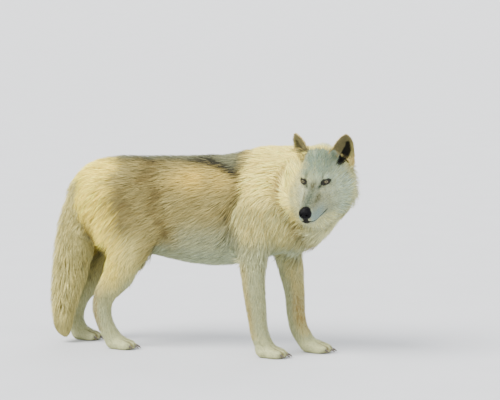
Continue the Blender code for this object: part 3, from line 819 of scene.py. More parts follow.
def refined(surface, keep, rounds):
    """The surface with each triangle that keep() picks split into four, as often as rounds says."""
    mesh = bpy.data.meshes.new("refine")
    mesh.from_pydata(surface.points.tolist(), [], surface.triangles.tolist())
    work = bmesh.new()
    work.from_mesh(mesh)
    bpy.data.meshes.remove(mesh)
    for number in range(rounds):
        places = np.array([face.calc_center_median() for face in work.faces])
        chosen = np.nonzero(keep(places, number))[0]
        work.faces.ensure_lookup_table()
        edges = {edge for index in chosen for edge in work.faces[index].edges}
        bmesh.ops.subdivide_edges(work, edges=list(edges), cuts=1, use_grid_fill=True)
        bmesh.ops.triangulate(work, faces=[face for face in work.faces if len(face.verts) > 3])
    mesh = bpy.data.meshes.new("refined")
    work.to_mesh(mesh)
    work.free()
    return surface_of(mesh)


def finer(places, number):
    """Where the skin is split: the face and between the toes first, then by mouth and eyes."""
    forward, left, up = to_head(places).T
    if number == 0:
        face = (forward > -0.040) & (np.abs(left) < 0.085) & (up > -0.145) & (up < 0.050)
        return face | ((places[:, 2] < 0.060) & (toe_gaps(places) > 0.02))
    mouth = gap_to_line(to_half_head(places), MOUTH)[0] < 0.012
    eyes = (forward > -0.03) & (np.abs(np.abs(left) - 0.043) < 0.026) & (np.abs(up) < 0.019)
    return mouth | eyes


def sculpted(surface, owners):
    """The skin with the mouth's groove and lips, the brows, the folds round the eyes, the hollows
    of the ears, room for the nose and the clefts between the toes."""
    normals = surface.normals()
    places = to_head(surface.points)
    on_head = is_node(owners, "head")
    half = to_half_head(surface.points)
    gap, along = gap_to_line(half, MOUTH)
    groove = -0.0030 * bump_at(gap, 0, 0.0020) * (1 - 0.5 * along)
    lip = 0.0009 * bump_at(gap, 0.0045, 0.0022)
    shift = on_head * (groove + lip)
    forward, side, up = half.T
    brow = bump_at(up, 0.019, 0.007) * bump_at(side, 0.040, 0.017) * ramp(forward, -0.05, -0.02)
    furrow = bump_at(side, 0, 0.005) * bump_at(up, 0.028, 0.026) * ramp(forward, -0.06, -0.02)
    cheekbone = bump_at(up, -0.024, 0.008) * bump_at(side, 0.050, 0.018) * ramp(forward, -0.06, -0.02)
    tear = bump_at(up, -0.018, 0.010) * bump_at(side, 0.026, 0.006) * ramp(forward, -0.03, 0.0)
    shift += on_head * (0.0030 * brow - 0.0016 * furrow + 0.0012 * cheekbone - 0.0018 * tear)
    shift -= on_head * 0.008 * ear_hollow(half)
    shift -= is_node(owners, *PAWS) * 0.0042 * toe_gaps(surface.points)
    nose = places - to_head(middle("nose"))
    shift -= on_head * 0.0070 * ramp(np.linalg.norm(nose * [1.0, 1.0, 1.1], axis=1), 0.0235, 0.0185)
    surface.points = surface.points + normals * shift[:, None]
    return surface


def make_skin():
    """The one skin: the flesh's outer surface drawn in by the coat's depth, with a finer face.
    It comes with each point's node, coat depth and lie of the coat."""
    outer = remeshed(FLESH + PLUGS, JOIN_GROWTH, SKIN_VOXEL, 3)
    normals = outer.normals()
    outer.owners = node_of_points(outer.points)
    outer.depth = outer.smoothed(coat_depth(outer.points, normals, outer.owners), DEPTH_ROUNDS)
    outer.flow = outer.smoothed(lie_of_coat(outer.points, normals, outer.owners), LIE_ROUNDS)
    inner = Surface(outer.points.copy(), outer.triangles)
    for _ in range(INSET_STEPS):
        inner.points = inner.points - inner.normals() * (outer.depth / INSET_STEPS)[:, None]
        inner.points = inner.smoothed(inner.points, 1, 0.4)
    tree = inner.tree()
    skin = refined(inner, finer, 2)
    faces = [tree.find_nearest(point)[2] for point in skin.points.tolist()]
    first = inner.triangles[faces, 0]
    skin.owners = outer.owners[first]
    skin.depth = skin.smoothed(outer.depth[inner.triangles[faces]].mean(axis=1), 4)
    skin.flow = skin.smoothed(outer.flow[inner.triangles[faces]].mean(axis=1), 4)
    on_face = skin.smoothed(finer(skin.points, 0) * is_node(skin.owners, "head"), 3)
    skin.points = blend(skin.points, skin.smoothed(skin.points, 5), on_face)
    lay_mouth_on(skin.tree())
    skin = sculpted(skin, skin.owners)
    skin.points[:, 2] = np.maximum(skin.points[:, 2], 0.0)
    skin.face_normal = skin.normals()
    skin.flow = along_surface(skin.flow, skin.face_normal)
    return skin


def along_surface(vectors, normals):
    return unit(vectors - normals * np.sum(vectors * normals, axis=1)[:, None])


def skin_object(skin):
    """The skin's mesh with its lids, painted with the markings."""
    tree = skin.tree()
    points, triangles = [skin.points], [skin.triangles]
    total = len(skin.points)
    lifted = skin.points + skin.face_normal * skin.depth[:, None]
    colours = [markings(lifted, skin.face_normal, skin.flow, skin.owners)]
    for sign in SIDES.values():
        lids = Surface(*face_lids(tree, sign))
        owners = np.full(len(lids.points), FLESH.index("head"))
        flow = np.tile(unit(-FORWARD), (len(lids.points), 1))
        colours.append(markings(lids.points, lids.normals(), flow, owners))
        points.append(lids.points)
        triangles.append(lids.triangles + total)
        total += len(lids.points)
    mesh = mesh_of("skin", np.concatenate(points), np.concatenate(triangles))
    paint(mesh, np.concatenate(colours))
    mesh = thinned(object_of("skin", mesh), np.nonzero(~finer(skin.points, 1))[0])
    mesh.name = "skin"
    mesh.shade_smooth()
    print("skin", len(mesh.polygons), "triangles")
    return object_of("skin", mesh)


def thinned(obj, coarse):
    """The skin's mesh with fewer triangles, taken from round these points."""
    group = obj.vertex_groups.new(name="coarse")
    group.add(coarse.tolist(), 1.0, "REPLACE")
    fewer = obj.modifiers.new("fewer", "DECIMATE")
    fewer.vertex_group = group.name
    fewer.ratio = SKIN_TRIANGLES / len(obj.data.polygons)
    return evaluated(obj)


# The coat -----------------------------------------------------------------------------------------

COAT_TRIANGLES = 1_400_000
LONG_TUFT = 0.062  # from this length on a tuft has three rings and not two
PATCH = 0.003  # of a tuft on the coat's map
COVER = {"trunk": 9.5, "neck": 11.0, "head": 4.6, "tail": 9.0}
FACE_COVER, LEG_COVER, PAW_COVER, EAR_COVER = 1.8, 3.2, 1.2, 2.2
OWN_ROUNDNESS = 1.1  # of a tuft's shading, beside the skin's own
ROOT_SHADE = 0.55  # a tuft is darker down in the coat
BEND_AT = 0.40  # how far along a tuft its path is bent most
RISE = 0.45  # how far it stands out there over a straight one, as a share of the coat's depth
EAR_FRINGE = 0.0050  # how far the ears' hair stands beyond their skin
ROOT_SINK = 0.0012  # how deep in the skin a tuft starts
LENGTH_SPREAD = (0.75, 1.12)
WIDTH_SPREAD = (0.75, 1.25)
TURN_SPREAD = 8  # degrees by which a tuft strays from the lie of the coat
DARK_SHARE = 0.09  # of the tufts are much darker than the rest


def tuft_sizes(depth):
    length = np.clip(2.40 * depth + 0.0018, 0.0045, 0.098)
    width = np.clip(0.0008 + 0.023 * length, 0.0010, 0.0026)
    return length, width


def bare(points):
    """1 where no tuft grows: in the eyes' openings, on the nose and along the lips."""
    share = np.zeros(len(points))
    for sign in SIDES.values():
        depth, across, height = in_eye(points, sign)
        reach = (across / (OPENING_HALF_WIDTH + 0.0075)) ** 2 + (height / (OPENING_TOP + 0.0038)) ** 2
        share = np.maximum(share, (reach < 1) * (depth > -0.012))
    nose = to_head(points) - to_head(middle("nose"))
    share = np.maximum(share, np.linalg.norm(nose * [0.9, 1.0, 1.15], axis=1) < 0.0245)
    gap, _ = gap_to_line(to_half_head(points), MOUTH)
    return np.maximum(share, gap < 0.0042)


def mixed(values, corners, weights):
    """The points' values at places given by their triangles' corners and the weights in them."""
    return np.einsum("nc,nc...->n...", weights, values[corners])


def scattered(skin, rng):
    """Roots spread over the skin by the coat's density: their triangles and weights in them."""
    length, width = tuft_sizes(skin.depth)
    cover = np.zeros(len(skin.points))
    for name, value in COVER.items():
        cover += value * is_node(skin.owners, name)
    on_face = is_node(skin.owners, "head") * ramp(to_head(skin.points)[:, 0], -0.09, -0.01)
    cover += (FACE_COVER - COVER["head"]) * on_face
    cover += LEG_COVER * is_node(skin.owners, *LEGS)
    cover += PAW_COVER * is_node(skin.owners, *PAWS)
    cover += EAR_COVER * is_node(skin.owners, *EARS)
    density = cover / (0.62 * length * width)
    density *= ramp(skin.points[:, 2], 0.001, 0.004)  # none under the soles
    cost = np.where(length > LONG_TUFT, 16, 10)
    area = np.linalg.norm(skin.face_normals(), axis=1) / 2
    weight = area * density[skin.triangles].mean(axis=1)
    share = COAT_TRIANGLES / np.sum(weight * cost[skin.triangles].mean(axis=1))
    reach = np.cumsum(weight * min(share, 1.6))
    count = int(reach[-1])
    spots = (np.arange(count) + rng.random(count)) / count * reach[-1]
    faces = np.minimum(np.searchsorted(reach, spots), len(reach) - 1)
    first, second = np.sqrt(rng.random(count)), rng.random(count)
    weights = np.stack([1 - first, first * (1 - second), first * second], axis=-1)
    return faces, weights


class Tufts:
    """Every tuft's root, path, width and colour, one row each."""

    def __init__(self, skin, rng):
        faces, weights = scattered(skin, rng)
        root = mixed(skin.points, skin.triangles[faces], weights)
        grows = ~bare(root).astype(bool)
        corners, weights, root = skin.triangles[faces[grows]], weights[grows], root[grows]
        count = len(root)
        self.owners = skin.owners[corners[:, 0]]
        self.normal = unit(mixed(skin.face_normal, corners, weights))
        flow = along_surface(mixed(skin.flow, corners, weights), self.normal)
        depth = mixed(skin.depth, corners, weights)
        length, width = tuft_sizes(depth)
        self.length = length * rng.uniform(*LENGTH_SPREAD, count)
        self.width = width * rng.uniform(*WIDTH_SPREAD, count)
        turn = np.radians(rng.normal(0, TURN_SPREAD, count))
        side = np.cross(self.normal, flow)
        flow = unit(flow * np.cos(turn)[:, None] + side * np.sin(turn)[:, None])

        on_ruff = mixed(is_node(skin.owners, "head", "neck"), corners, weights) > 0.5
        ground, height, tip_owners = self.lay_over(skin, root, flow, on_ruff, rng)
        self.root = root - self.normal * ROOT_SINK
        self.clump(rng)
        rise = RISE * np.minimum(height, depth) + 0.0004
        middles = blend(self.root, self.tip, np.full(count, BEND_AT))
        self.bend = middles + self.normal * rise[:, None]
        on_ears = is_node(self.owners, *EARS) * ramp(to_head(root)[:, 2], 0.035, 0.065)
        fringe = on_ears * EAR_FRINGE * rng.uniform(0.3, 1.0, count)
        self.tip += self.tip_normal * fringe[:, None]

        seen_at = 0.4 + 0.2 * ramp(self.length, 0.010, 0.040)
        spot = root + (ground - root) * seen_at[:, None] + self.normal * depth[:, None]
        self.tint(spot, flow, tip_owners, rng)

    def lay_over(self, skin, root, flow, on_ruff, rng):
        """Sets the tips: over the skin at a tuft's length along the coat. Where the skin ends
        before that they stand out free, but on the ruff and neck they bend down to it."""
        tree = skin.tree()
        reach = root + flow * self.length[:, None]
        found = [tree.find_nearest(point) for point in reach.tolist()]
        ground = np.array([hit[0] for hit in found])
        tip_corners = skin.triangles[np.array([hit[2] for hit in found])]
        owners = skin.owners[tip_corners[:, 0]]
        tip_normal = unit(skin.face_normal[tip_corners].mean(axis=1))
        beyond = np.linalg.norm(reach - ground, axis=1) > 0.5 * self.length
        freedom = np.where(on_ruff, 0.45, 1.0)
        ground = np.where(beyond[:, None], blend(ground, reach, freedom), ground)
        self.tip_normal = np.where(beyond[:, None], self.normal, tip_normal)
        loose = is_node(owners, "tail", "neck")
        share = 1.03 + 0.15 * loose - 0.45 * rng.random(len(root)) ** 1.6
        height = skin.depth[tip_corners[:, 0]] * share
        height = np.where(beyond, 0.35 * height, height)
        self.tip = ground + self.tip_normal * height[:, None]
        return ground, height, owners

    def tint(self, spot, flow, owners, rng):
        """Gives each tuft the coat's colour at a spot along it, a little off from its neighbours."""
        count = len(spot)
        normals = unit(self.normal + self.tip_normal)
        colour = markings(spot, normals, flow, owners)
        # Tufts over an ear's hollow take its dark hair and painted shade
        over_hollow = dark_in_ear(self.tip, normals, owners, "ear_left", EARS["ear_left"])
        colour = blend(colour, BLACKISH, 0.9 * over_hollow)
        on_head = is_node(owners, "head")
        spread = blend(0.18, 0.22, on_head)
        shade = np.clip(rng.normal(1.0, 1.0, count) * spread + 1 - spread, 0.6, 1.4)
        shade *= np.where(rng.random(count) < DARK_SHARE, 0.58, 1.0)
        warmth = rng.normal(0, 1, count) * blend(0.035, 0.085, on_head)
        warmth = warmth[:, None] * np.array([1.0, 0.4, -1.3])
        self.colour = np.clip(colour * shade[:, None] * (1 + warmth), 0.001, 0.95)

    def clump(self, rng):
        """Draws the tips of long tufts together into locks."""
        for one_in, share in ((80, 0.12), (9, 0.24)):
            leaders = np.nonzero(rng.random(len(self.root)) < 1 / one_in)[0]
            tree = KDTree(len(leaders))
            for index, point in enumerate(self.root[leaders].tolist()):
                tree.insert(point, index)
            tree.balance()
            long = np.nonzero(self.length > 0.018)[0]
            chosen = leaders[[tree.find(point)[1] for point in self.root[long].tolist()]]
            pull = self.tip[chosen] + 0.35 * (self.root[long] - self.root[chosen])
            near = np.linalg.norm(self.root[long] - self.root[chosen], axis=1) < 0.5 * self.length[long]
            strength = share * near * rng.uniform(0.5, 1.0, len(long))
            self.tip[long] += (pull - self.tip[long]) * strength[:, None]

    def piece(self, name, chosen, spots):
        """One coat piece: closed tapering tufts with their colours, soft normals and map."""
        long = self.length[chosen] > LONG_TUFT
        parts = []
        for picked, steps, widths in (
            (long, (0.0, 0.36, 0.72), (0.55, 1.0, 0.66)),
            (~long, (0.0, 0.45), (0.6, 1.0)),
        ):
            if picked.any():
                parts.append(self.built(chosen[picked], steps, widths, spots[picked]))
        totals = np.cumsum([0] + [len(part[0]) for part in parts])
        points, triangles, colours, normals, places = zip(*parts)
        triangles = [rows + total for rows, total in zip(triangles, totals)]
        mesh = mesh_of(name, np.concatenate(points), np.concatenate(triangles))
        paint(mesh, np.concatenate(colours))
        layer = mesh.uv_layers.new(name="OFBake", do_init=False)
        layer.data.foreach_set("uv", np.concatenate(places).astype(np.float32).ravel())
        mesh.shade_smooth()
        mesh.normals_split_custom_set(np.concatenate(normals).tolist())
        return object_of(name, mesh)

    def built(self, rows, steps, widths, spots):
        count, rings = len(rows), len(steps)
        root, bend, tip = self.root[rows], self.bend[rows], self.tip[rows]
        points = np.empty((count, rings * 3 + 1, 3))
        normals = np.empty_like(points)
        below = np.empty_like(points)
        colours = np.empty_like(points)
        for ring, (step, share) in enumerate(zip(steps, widths)):
            centre = (1 - step) ** 2 * root + 2 * step * (1 - step) * bend + step**2 * tip
            along = unit((1 - step) * (bend - root) + step * (tip - bend))
            normal = unit(blend(self.normal[rows], self.tip_normal[rows], step))
            side = unit(np.cross(along, normal))
            above = np.cross(side, along)
            half = (self.width[rows] * share / 2)[:, None]
            for corner, offset in enumerate((-side * half, side * half, above * half * 0.9)):
                points[:, ring * 3 + corner] = centre + offset
                normals[:, ring * 3 + corner] = unit(normal + OWN_ROUNDNESS * unit(offset))
                below[:, ring * 3 + corner] = unit(0.6 * unit(offset) - above)
            # Each tuft darkens towards its root: the darker undercoat with painted shade deep in the coat
            shade = ROOT_SHADE + (1 - ROOT_SHADE) * min(step / 0.7, 1)
            colours[:, ring * 3 : ring * 3 + 3] = (self.colour[rows] * shade)[:, None]
        points[:, -1] = tip
        points[:, :, 2] = np.maximum(points[:, :, 2], 0.0)
        normals[:, -1] = unit(self.tip_normal[rows] + unit(tip - bend))
        below[:, -1] = unit(tip - bend)
        colours[:, -1] = self.colour[rows] * 1.05

        faces, places, underside = tuft_pattern(steps)
        corner_normals = np.where(underside[:, None, None], below[:, faces], normals[:, faces])
        triangles = (np.arange(count)[:, None, None] * points.shape[1] + faces).reshape(-1, 3)
        map_places = np.clip(spots, PATCH, 1 - PATCH)[:, None, None] + PATCH * places
        return (
            points.reshape(-1, 3),
            triangles,
            np.clip(colours, 0, 1).reshape(-1, 3),
            corner_normals.reshape(-1, 3),
            map_places.reshape(-1, 2),
        )


def tuft_pattern(steps):
    """One tuft's triangles, each corner's place on its patch of the map from -0.5 to 0.5, and
    whether each triangle faces the skin."""
    rings = len(steps)
    faces = [(0, 1, 2)]
    underside = [True]
    places = [((-0.5, -0.5), (0.5, -0.5), (0.0, -0.34))]
    heights = [-0.32 + 0.82 * step for step in steps] + [0.5]
    for ring in range(rings):
        for a in range(3):
            b = (a + 1) % 3
            left, right = a / 3 - 0.5, (a + 1) / 3 - 0.5
            low, high = heights[ring], heights[ring + 1]
            base, above = ring * 3, ring * 3 + 3
            if ring == rings - 1:
                faces.append((base + b, base + a, above))
                places.append(((right, low), (left, low), ((left + right) / 2, high)))
                underside.append(a == 0)
            else:
                underside += [a == 0] * 2
                faces += [(base + b, base + a, above + a), (base + b, above + a, above + b)]
                places += [
                    ((right, low), (left, low), (left, high)),
                    ((right, low), (left, high), (right, high)),
                ]
    return np.array(faces), np.array(places), np.array(underside)


def piece_of(owners, points):
    """The name of the coat piece that each row belongs to."""
    side = np.where(points[:, 1] < BODY_Y, "_right", "_left").astype(object)
    head_side = np.where(to_head(points)[:, 1] < 0, "_right", "_left").astype(object)
    half = np.where(points[:, 0] < 0.0, "_rear", "_front").astype(object)
    plain, plural = (np.full(len(points), ending, dtype=object) for ending in ("", "s"))
    endings = {"trunk": half + side, "neck": side, "head": head_side, "tail": plain}
    names = np.empty(len(points), dtype=object)
    for index, name in enumerate(FLESH):
        mask = owners == index
        names[mask] = "coat_" + name.split("_")[0] + endings.get(name, plural)[mask]
    return names


def spots_on_map(skin, piece, roots):
    """Where the roots lie on an unwrap of the skin under this piece, which fills the map."""
    triangles = skin.triangles[skin.piece_names == piece]
    used, packed = np.unique(triangles, return_inverse=True)
    obj = object_of("unwrap", mesh_of("unwrap", skin.points[used], packed.reshape(-1, 3)))
    mesh = obj.data
    mesh.uv_layers.new(name="map")
    bpy.context.view_layer.objects.active = obj
    obj.select_set(True)
    bpy.ops.object.mode_set(mode="EDIT")
    bpy.ops.mesh.select_all(action="SELECT")
    bpy.ops.uv.smart_project(angle_limit=math.radians(66), island_margin=0.004)
    bpy.ops.object.mode_set(mode="OBJECT")
    flat = np.empty(len(mesh.loops) * 2, np.float32)
    mesh.uv_layers["map"].data.foreach_get("uv", flat)
    flat = flat.reshape(-1, 3, 2)
    surface = surface_of(mesh)
    tree = surface.tree()
    faces = [tree.find_nearest(point)[2] for point in roots.tolist()]
    corners = surface.points[surface.triangles[faces]]
    spots = np.einsum("nc,ncd->nd", weights_in(roots, corners), flat[faces])
    bpy.data.objects.remove(obj)
    return spots


def weights_in(points, corners):
    """Each point's weights in its own triangle."""
    a, b, c = corners[:, 0], corners[:, 1], corners[:, 2]
    normal = np.cross(b - a, c - a)
    size = np.maximum(np.sum(normal * normal, axis=1), 1e-20)
    first = np.sum(np.cross(c - b, points - b) * normal, axis=1) / size
    second = np.sum(np.cross(a - c, points - c) * normal, axis=1) / size
    weights = np.clip(np.stack([first, second, 1 - first - second], axis=-1), 0, 1)
    return weights / weights.sum(axis=1, keepdims=True)


# Eyeballs and nose --------------------------------------------------------------------------------

GAZE = {"left": (0.38, 0.25), "right": (-0.12, 0.22)}  # to its left and up, beside 1 forward
IRIS_REACH = 0.0068  # from the eye's axis
PUPIL_REACH = 0.0024
PUPIL = BLACKISH * 0.3
IRIS_INNER = tone(0.150, 0.135, 0.070)
IRIS_OUTER = tone(0.075, 0.062, 0.028)
SCLERA = tone(0.03, 0.018, 0.010)
NOSE_BLACK = tone(0.0022, 0.0020, 0.0026)


def make_eye(side, sign):
    """An eyeball whose rings run round its look, painted with pupil, iris and dark white."""
    centre = eye_axes(sign)[0]
    look = unit(FORWARD + GAZE[side][0] * LEFTWARD + GAZE[side][1] * UPWARD)
    outward = unit(sign * LEFTWARD - look * (sign * LEFTWARD @ look))
    above = np.cross(look, outward) * sign
    rings, spokes = 40, 72
    streaks = np.random.default_rng(SEED + 11).normal(0, 1, spokes)
    streaks = (streaks + np.roll(streaks, 1)) / 2
    points = [centre + look * EYE_RADIUS]
    colours = [PUPIL]
    for ring in range(1, rings):
        angle = math.radians(100) * (ring / (rings - 1)) ** 1.25
        reach = EYE_RADIUS * math.sin(angle)
        bulge = 0.0006 * float(bump_at(reach, 0, 0.006)) * (angle < math.pi / 2)
        for spoke in range(spokes):
            turn = 2 * math.pi * spoke / spokes
            sideways = math.cos(turn) * outward + math.sin(turn) * above
            points.append(centre + look * ((EYE_RADIUS + bulge) * math.cos(angle)) + sideways * reach)
            iris = blend(IRIS_INNER, IRIS_OUTER, ramp(reach, 0.003, IRIS_REACH))
            iris = iris * (1 + 0.16 * streaks[spoke]) * blend(1.0, 0.55, ramp(reach, 0.0050, 0.0064))
            # Painted shadow of the upper lid over the iris's top
            iris = iris * blend(1.0, 0.35, ramp(reach * math.sin(turn), 0.0020, 0.0056))
            colour = blend(PUPIL, iris, ramp(reach, PUPIL_REACH - 0.0003, PUPIL_REACH + 0.0004))
            colour = blend(colour, BLACKISH, ramp(reach, IRIS_REACH - 0.0008, IRIS_REACH))
            colour = blend(colour, SCLERA, ramp(reach, IRIS_REACH + 0.0002, IRIS_REACH + 0.0012))
            colours.append(colour)
    triangles = [(0, 1 + spoke, 1 + (spoke + 1) % spokes) for spoke in range(spokes)]
    for ring in range(rings - 2):
        for spoke in range(spokes):
            a = 1 + ring * spokes + spoke
            b = 1 + ring * spokes + (spoke + 1) % spokes
            triangles += [(a, a + spokes, b + spokes), (a, b + spokes, b)]
    last = 1 + (rings - 2) * spokes
    points.append(centre - look * EYE_RADIUS * 0.2)
    colours.append(SCLERA)
    triangles += [(last + spoke, len(points) - 1, last + (spoke + 1) % spokes) for spoke in range(spokes)]
    triangles = np.array(triangles)
    if sign > 0:
        triangles = triangles[:, ::-1]
    mesh = mesh_of(f"eyeball_{side}", points, triangles)
    paint(mesh, np.array(colours))
    mesh.shade_smooth()
    return object_of(f"eyeball_{side}", mesh)


def make_nose():
    """The nose pad: the node's shape in fine mesh, with nostrils, side slits and a centre groove."""
    surface = remeshed(("nose",), NOSE_GROWTH, NOSE_VOXEL, 8)
    normals = surface.normals()
    places = to_head(surface.points) - to_head(middle("nose"))
    forward, left, up = places.T
    side = np.abs(left)
    front = ramp(forward, 0.0, 0.006)
    raised = up + 0.0010 + 0.25 * (side - 0.010)
    nostril = np.sqrt(((side - 0.0102) / 0.0040) ** 2 + (raised / 0.0036) ** 2)
    slit = bump_at(up, -0.0052 - 0.10 * (side - 0.012), 0.0011) * ramp(side, 0.009, 0.013)
    groove = bump_at(left, 0, 0.0009) * ramp(up, 0.004, -0.004) * front
    rim = bump_at(nostril, 1.35, 0.30) * front
    depth = 0.0052 * ramp(nostril, 1.15, 0.45) * front + 0.0022 * slit + 0.0013 * groove - 0.0006 * rim
    surface.points = surface.points - normals * depth[:, None]
    # Painted shade in the nostrils and the side slits
    shade = np.clip(1 - 0.85 * ramp(nostril, 1.2, 0.6) * front - 0.6 * slit, 0.1, 1)
    mesh = mesh_of("nose_pad", surface.points, surface.triangles)
    paint(mesh, NOSE_BLACK * shade[:, None])
    mesh.shade_smooth()
    return object_of("nose_pad", mesh)


# Materials ----------------------------------------------------------------------------------------


def new_material(name, roughness, specular=0.5):
    material = bpy.data.materials.new(name)
    material.use_nodes = True
    tree = material.node_tree
    shader = tree.nodes["Principled BSDF"]
    shader.inputs["Roughness"].default_value = roughness
    shader.inputs["Specular IOR Level"].default_value = specular
    return material, tree, shader


def texture(tree, kind, output, stretch=(1, 1, 1), **settings):
    """One output of a procedural texture in the object's own coordinates."""
    place = tree.nodes.new("ShaderNodeTexCoord")
    mapping = tree.nodes.new("ShaderNodeMapping")
    mapping.inputs["Scale"].default_value = stretch
    grain = tree.nodes.new(kind)
    for socket, value in settings.items():
        grain.inputs[socket].default_value = value
    tree.links.new(place.outputs["Object"], mapping.inputs["Vector"])
    tree.links.new(mapping.outputs["Vector"], grain.inputs["Vector"])
    return grain.outputs[output]


def painted(name, scale, low, high, roughness, specular):
    """A material of the painted tint, darkened and lightened a little by fine noise."""
    material, tree, shader = new_material(name, roughness, specular)
    tint = tree.nodes.new("ShaderNodeAttribute")
    tint.attribute_name = "tint"
    spread = tree.nodes.new("ShaderNodeMapRange")
    spread.inputs["To Min"].default_value = low
    spread.inputs["To Max"].default_value = high
    mix = tree.nodes.new("ShaderNodeVectorMath")
    mix.operation = "SCALE"
    noise = texture(tree, "ShaderNodeTexNoise", "Fac", Scale=scale, Detail=3)
    tree.links.new(noise, spread.inputs["Value"])
    tree.links.new(tint.outputs["Color"], mix.inputs[0])
    tree.links.new(spread.outputs["Result"], mix.inputs["Scale"])
    tree.links.new(mix.outputs["Vector"], shader.inputs["Base Color"])
    return material, tree, shader


def add_bump(tree, shader, height, strength, distance):
    bump = tree.nodes.new("ShaderNodeBump")
    bump.inputs["Strength"].default_value = strength
    bump.inputs["Distance"].default_value = distance
    tree.links.new(height, bump.inputs["Height"])
    tree.links.new(bump.outputs["Normal"], shader.inputs["Normal"])


def two_tones(tree, shader, factor, first, second, start=0.0, end=1.0):
    """The base colour, from the first tone to the second as the factor goes from start to end."""
    ramp_node = tree.nodes.new("ShaderNodeValToRGB")
    for element, colour, place in zip(ramp_node.color_ramp.elements, (first, second), (start, end)):
        element.color = (*colour, 1)
        element.position = place
    tree.links.new(factor, ramp_node.inputs["Fac"])
    tree.links.new(ramp_node.outputs["Color"], shader.inputs["Base Color"])


def coat_material():
    material, _, _ = painted("coat_hair", 140, 0.90, 1.10, 0.78, 0.12)
    return material


def skin_material():
    material, tree, shader = painted("short_hair", 260, 0.82, 1.14, 0.8, 0.1)
    hairs = texture(tree, "ShaderNodeTexNoise", "Fac", Scale=900, Detail=4)
    add_bump(tree, shader, hairs, 0.6, 0.0012)
    return material


def eye_material():
    material, _, shader = painted("wet_eye", 1500, 0.85, 1.15, 0.35, 0.1)
    shader.inputs["Coat Weight"].default_value = 0.5
    shader.inputs["Coat Roughness"].default_value = 0.03
    return material


def nose_material():
    material, tree, shader = painted("nose_leather", 700, 0.7, 1.3, 0.30, 0.07)
    pebbles = texture(tree, "ShaderNodeTexVoronoi", "Distance", Scale=900)
    add_bump(tree, shader, pebbles, 0.7, 0.0006)
    return material


def claw_material():
    """Dark horn, streaked along the claw."""
    material, tree, shader = new_material("claw_horn", 0.45)
    streaks = texture(tree, "ShaderNodeTexNoise", "Fac", stretch=(60, 900, 500), Detail=4)
    two_tones(tree, shader, streaks, (0.018, 0.013, 0.010), (0.12, 0.095, 0.065), 0.3, 0.75)
    add_bump(tree, shader, streaks, 0.3, 0.0004)
    return material


def floor_material():
    material, tree, shader = new_material("pale_floor", 0.9)
    patches = texture(tree, "ShaderNodeTexNoise", "Fac", Scale=3)
    two_tones(tree, shader, patches, (0.52, 0.53, 0.55), (0.56, 0.57, 0.59))
    return material


# Stage --------------------------------------------------------------------------------------------

CAMERA_AZIMUTH = math.radians(20)
CAMERA_RISE = math.radians(5)
CAMERA_DISTANCE = 8.0
CAMERA_LENS = 155.52
# From between the wolf's eyes to the middle of the picture
AIM_FROM_EYES = np.array([-0.3476, 0.2912, -0.0982])


def make_camera():
    camera = bpy.data.objects.new("camera", bpy.data.cameras.new("camera"))
    bpy.context.collection.objects.link(camera)
    back = np.array(
        [
            math.sin(CAMERA_AZIMUTH) * math.cos(CAMERA_RISE),
            -math.cos(CAMERA_AZIMUTH) * math.cos(CAMERA_RISE),
            math.sin(CAMERA_RISE),
        ]
    )
    camera.location = EYES_MIDDLE + AIM_FROM_EYES + CAMERA_DISTANCE * back
    camera.rotation_mode = "QUATERNION"
    camera.rotation_quaternion = Vector(-back).to_track_quat("-Z", "Y")
    camera.data.lens = CAMERA_LENS
    camera.data.sensor_width = 36
    camera.data.clip_end = 300
    bpy.context.scene.camera = camera


FLOOR_FLAT = 50.0
FLOOR_REACH = 100.0
FLOOR_RIM = 12.0
FLOOR_SIDES = 128


def make_floor():
    """A wide round floor that curves up at its rim, so that no horizon shows."""
    points, triangles = [(0, 0, 0)], []
    for ring, radius in enumerate(np.linspace(FLOOR_FLAT, FLOOR_REACH, 16)):
        height = FLOOR_RIM * ((radius - FLOOR_FLAT) / (FLOOR_REACH - FLOOR_FLAT)) ** 2
        for side in range(FLOOR_SIDES):
            angle = math.tau * side / FLOOR_SIDES
            here = 1 + ring * FLOOR_SIDES + side
            after = 1 + ring * FLOOR_SIDES + (side + 1) % FLOOR_SIDES
            points.append((radius * math.cos(angle), radius * math.sin(angle), height))
            if ring == 0:
                triangles.append((0, here, after))
            else:
                within, within_after = here - FLOOR_SIDES, after - FLOOR_SIDES
                triangles += [(within, here, after), (within, after, within_after)]
    mesh = mesh_of("floor", points, triangles)
    mesh.shade_smooth()
    floor = object_of("floor", mesh)
    mesh.materials.append(floor_material())


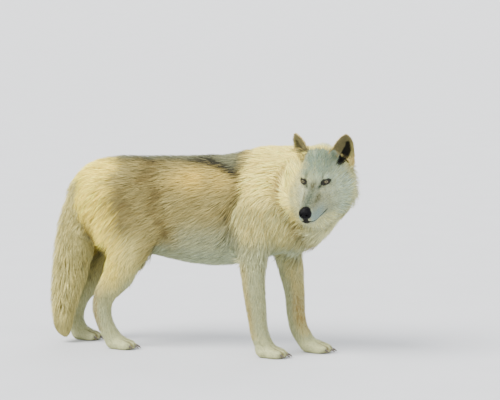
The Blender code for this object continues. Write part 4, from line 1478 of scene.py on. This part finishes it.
def make_light(name, towards, strength, softness, colour):
    """A broad far lamp whose light travels towards this direction."""
    lamp = bpy.data.lights.new(name, "SUN")
    lamp.energy = strength
    lamp.angle = math.radians(softness)
    lamp.color = colour
    obj = bpy.data.objects.new(name, lamp)
    bpy.context.collection.objects.link(obj)
    obj.rotation_mode = "QUATERNION"
    obj.rotation_quaternion = Vector(towards).to_track_quat("-Z", "Y")


def make_lights():
    world = bpy.data.worlds.new("studio")
    world.use_nodes = True
    world.node_tree.nodes["Background"].inputs["Color"].default_value = (0.95, 0.97, 1.0, 1)
    world.node_tree.nodes["Background"].inputs["Strength"].default_value = 1.5
    bpy.context.scene.world = world
    for name, towards, strength, softness, colour in (
        ("key", (0.42, 0.62, -0.80), 7.5, 35, (1.0, 0.98, 0.94)),
        ("fill", (-0.75, 0.55, -0.40), 0.8, 60, (0.95, 0.97, 1.0)),
        ("rim", (0.15, -0.80, -0.60), 1.0, 50, (0.97, 0.98, 1.0)),
    ):
        make_light(name, towards, strength, softness, colour)


# Putting it together ------------------------------------------------------------------------------


def finish_piece(obj, material, slot, *nodes):
    obj.data.materials.append(material)
    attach(obj, "root")
    if nodes:
        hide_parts(*nodes)


def main():
    rng = np.random.default_rng(SEED)
    hair = coat_material()
    skin = make_skin()
    finish_piece(skin_object(skin), skin_material(), "coat", *FLESH)

    tufts = Tufts(skin, rng)
    skin.piece_names = piece_of(
        skin.owners[skin.triangles[:, 0]], skin.points[skin.triangles].mean(axis=1)
    )
    names = piece_of(tufts.owners, tufts.root)
    for name in sorted(set(names)):
        chosen = np.nonzero(names == name)[0]
        spots = spots_on_map(skin, name, tufts.root[chosen])
        piece = tufts.piece(name, chosen, spots)
        print(name, len(piece.data.polygons), "triangles")
        finish_piece(piece, hair, "coat")

    wet = eye_material()
    for side, sign in SIDES.items():
        finish_piece(make_eye(side, sign), wet, "eye", f"eye_{side}")
    finish_piece(make_nose(), nose_material(), "nose", "nose")
    horn = claw_material()
    for name in CLAWS:
        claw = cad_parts[name]
        for index in range(len(claw.material_slots)):
            claw.material_slots[index].material = horn

    make_floor()
    make_lights()
    make_camera()


main()
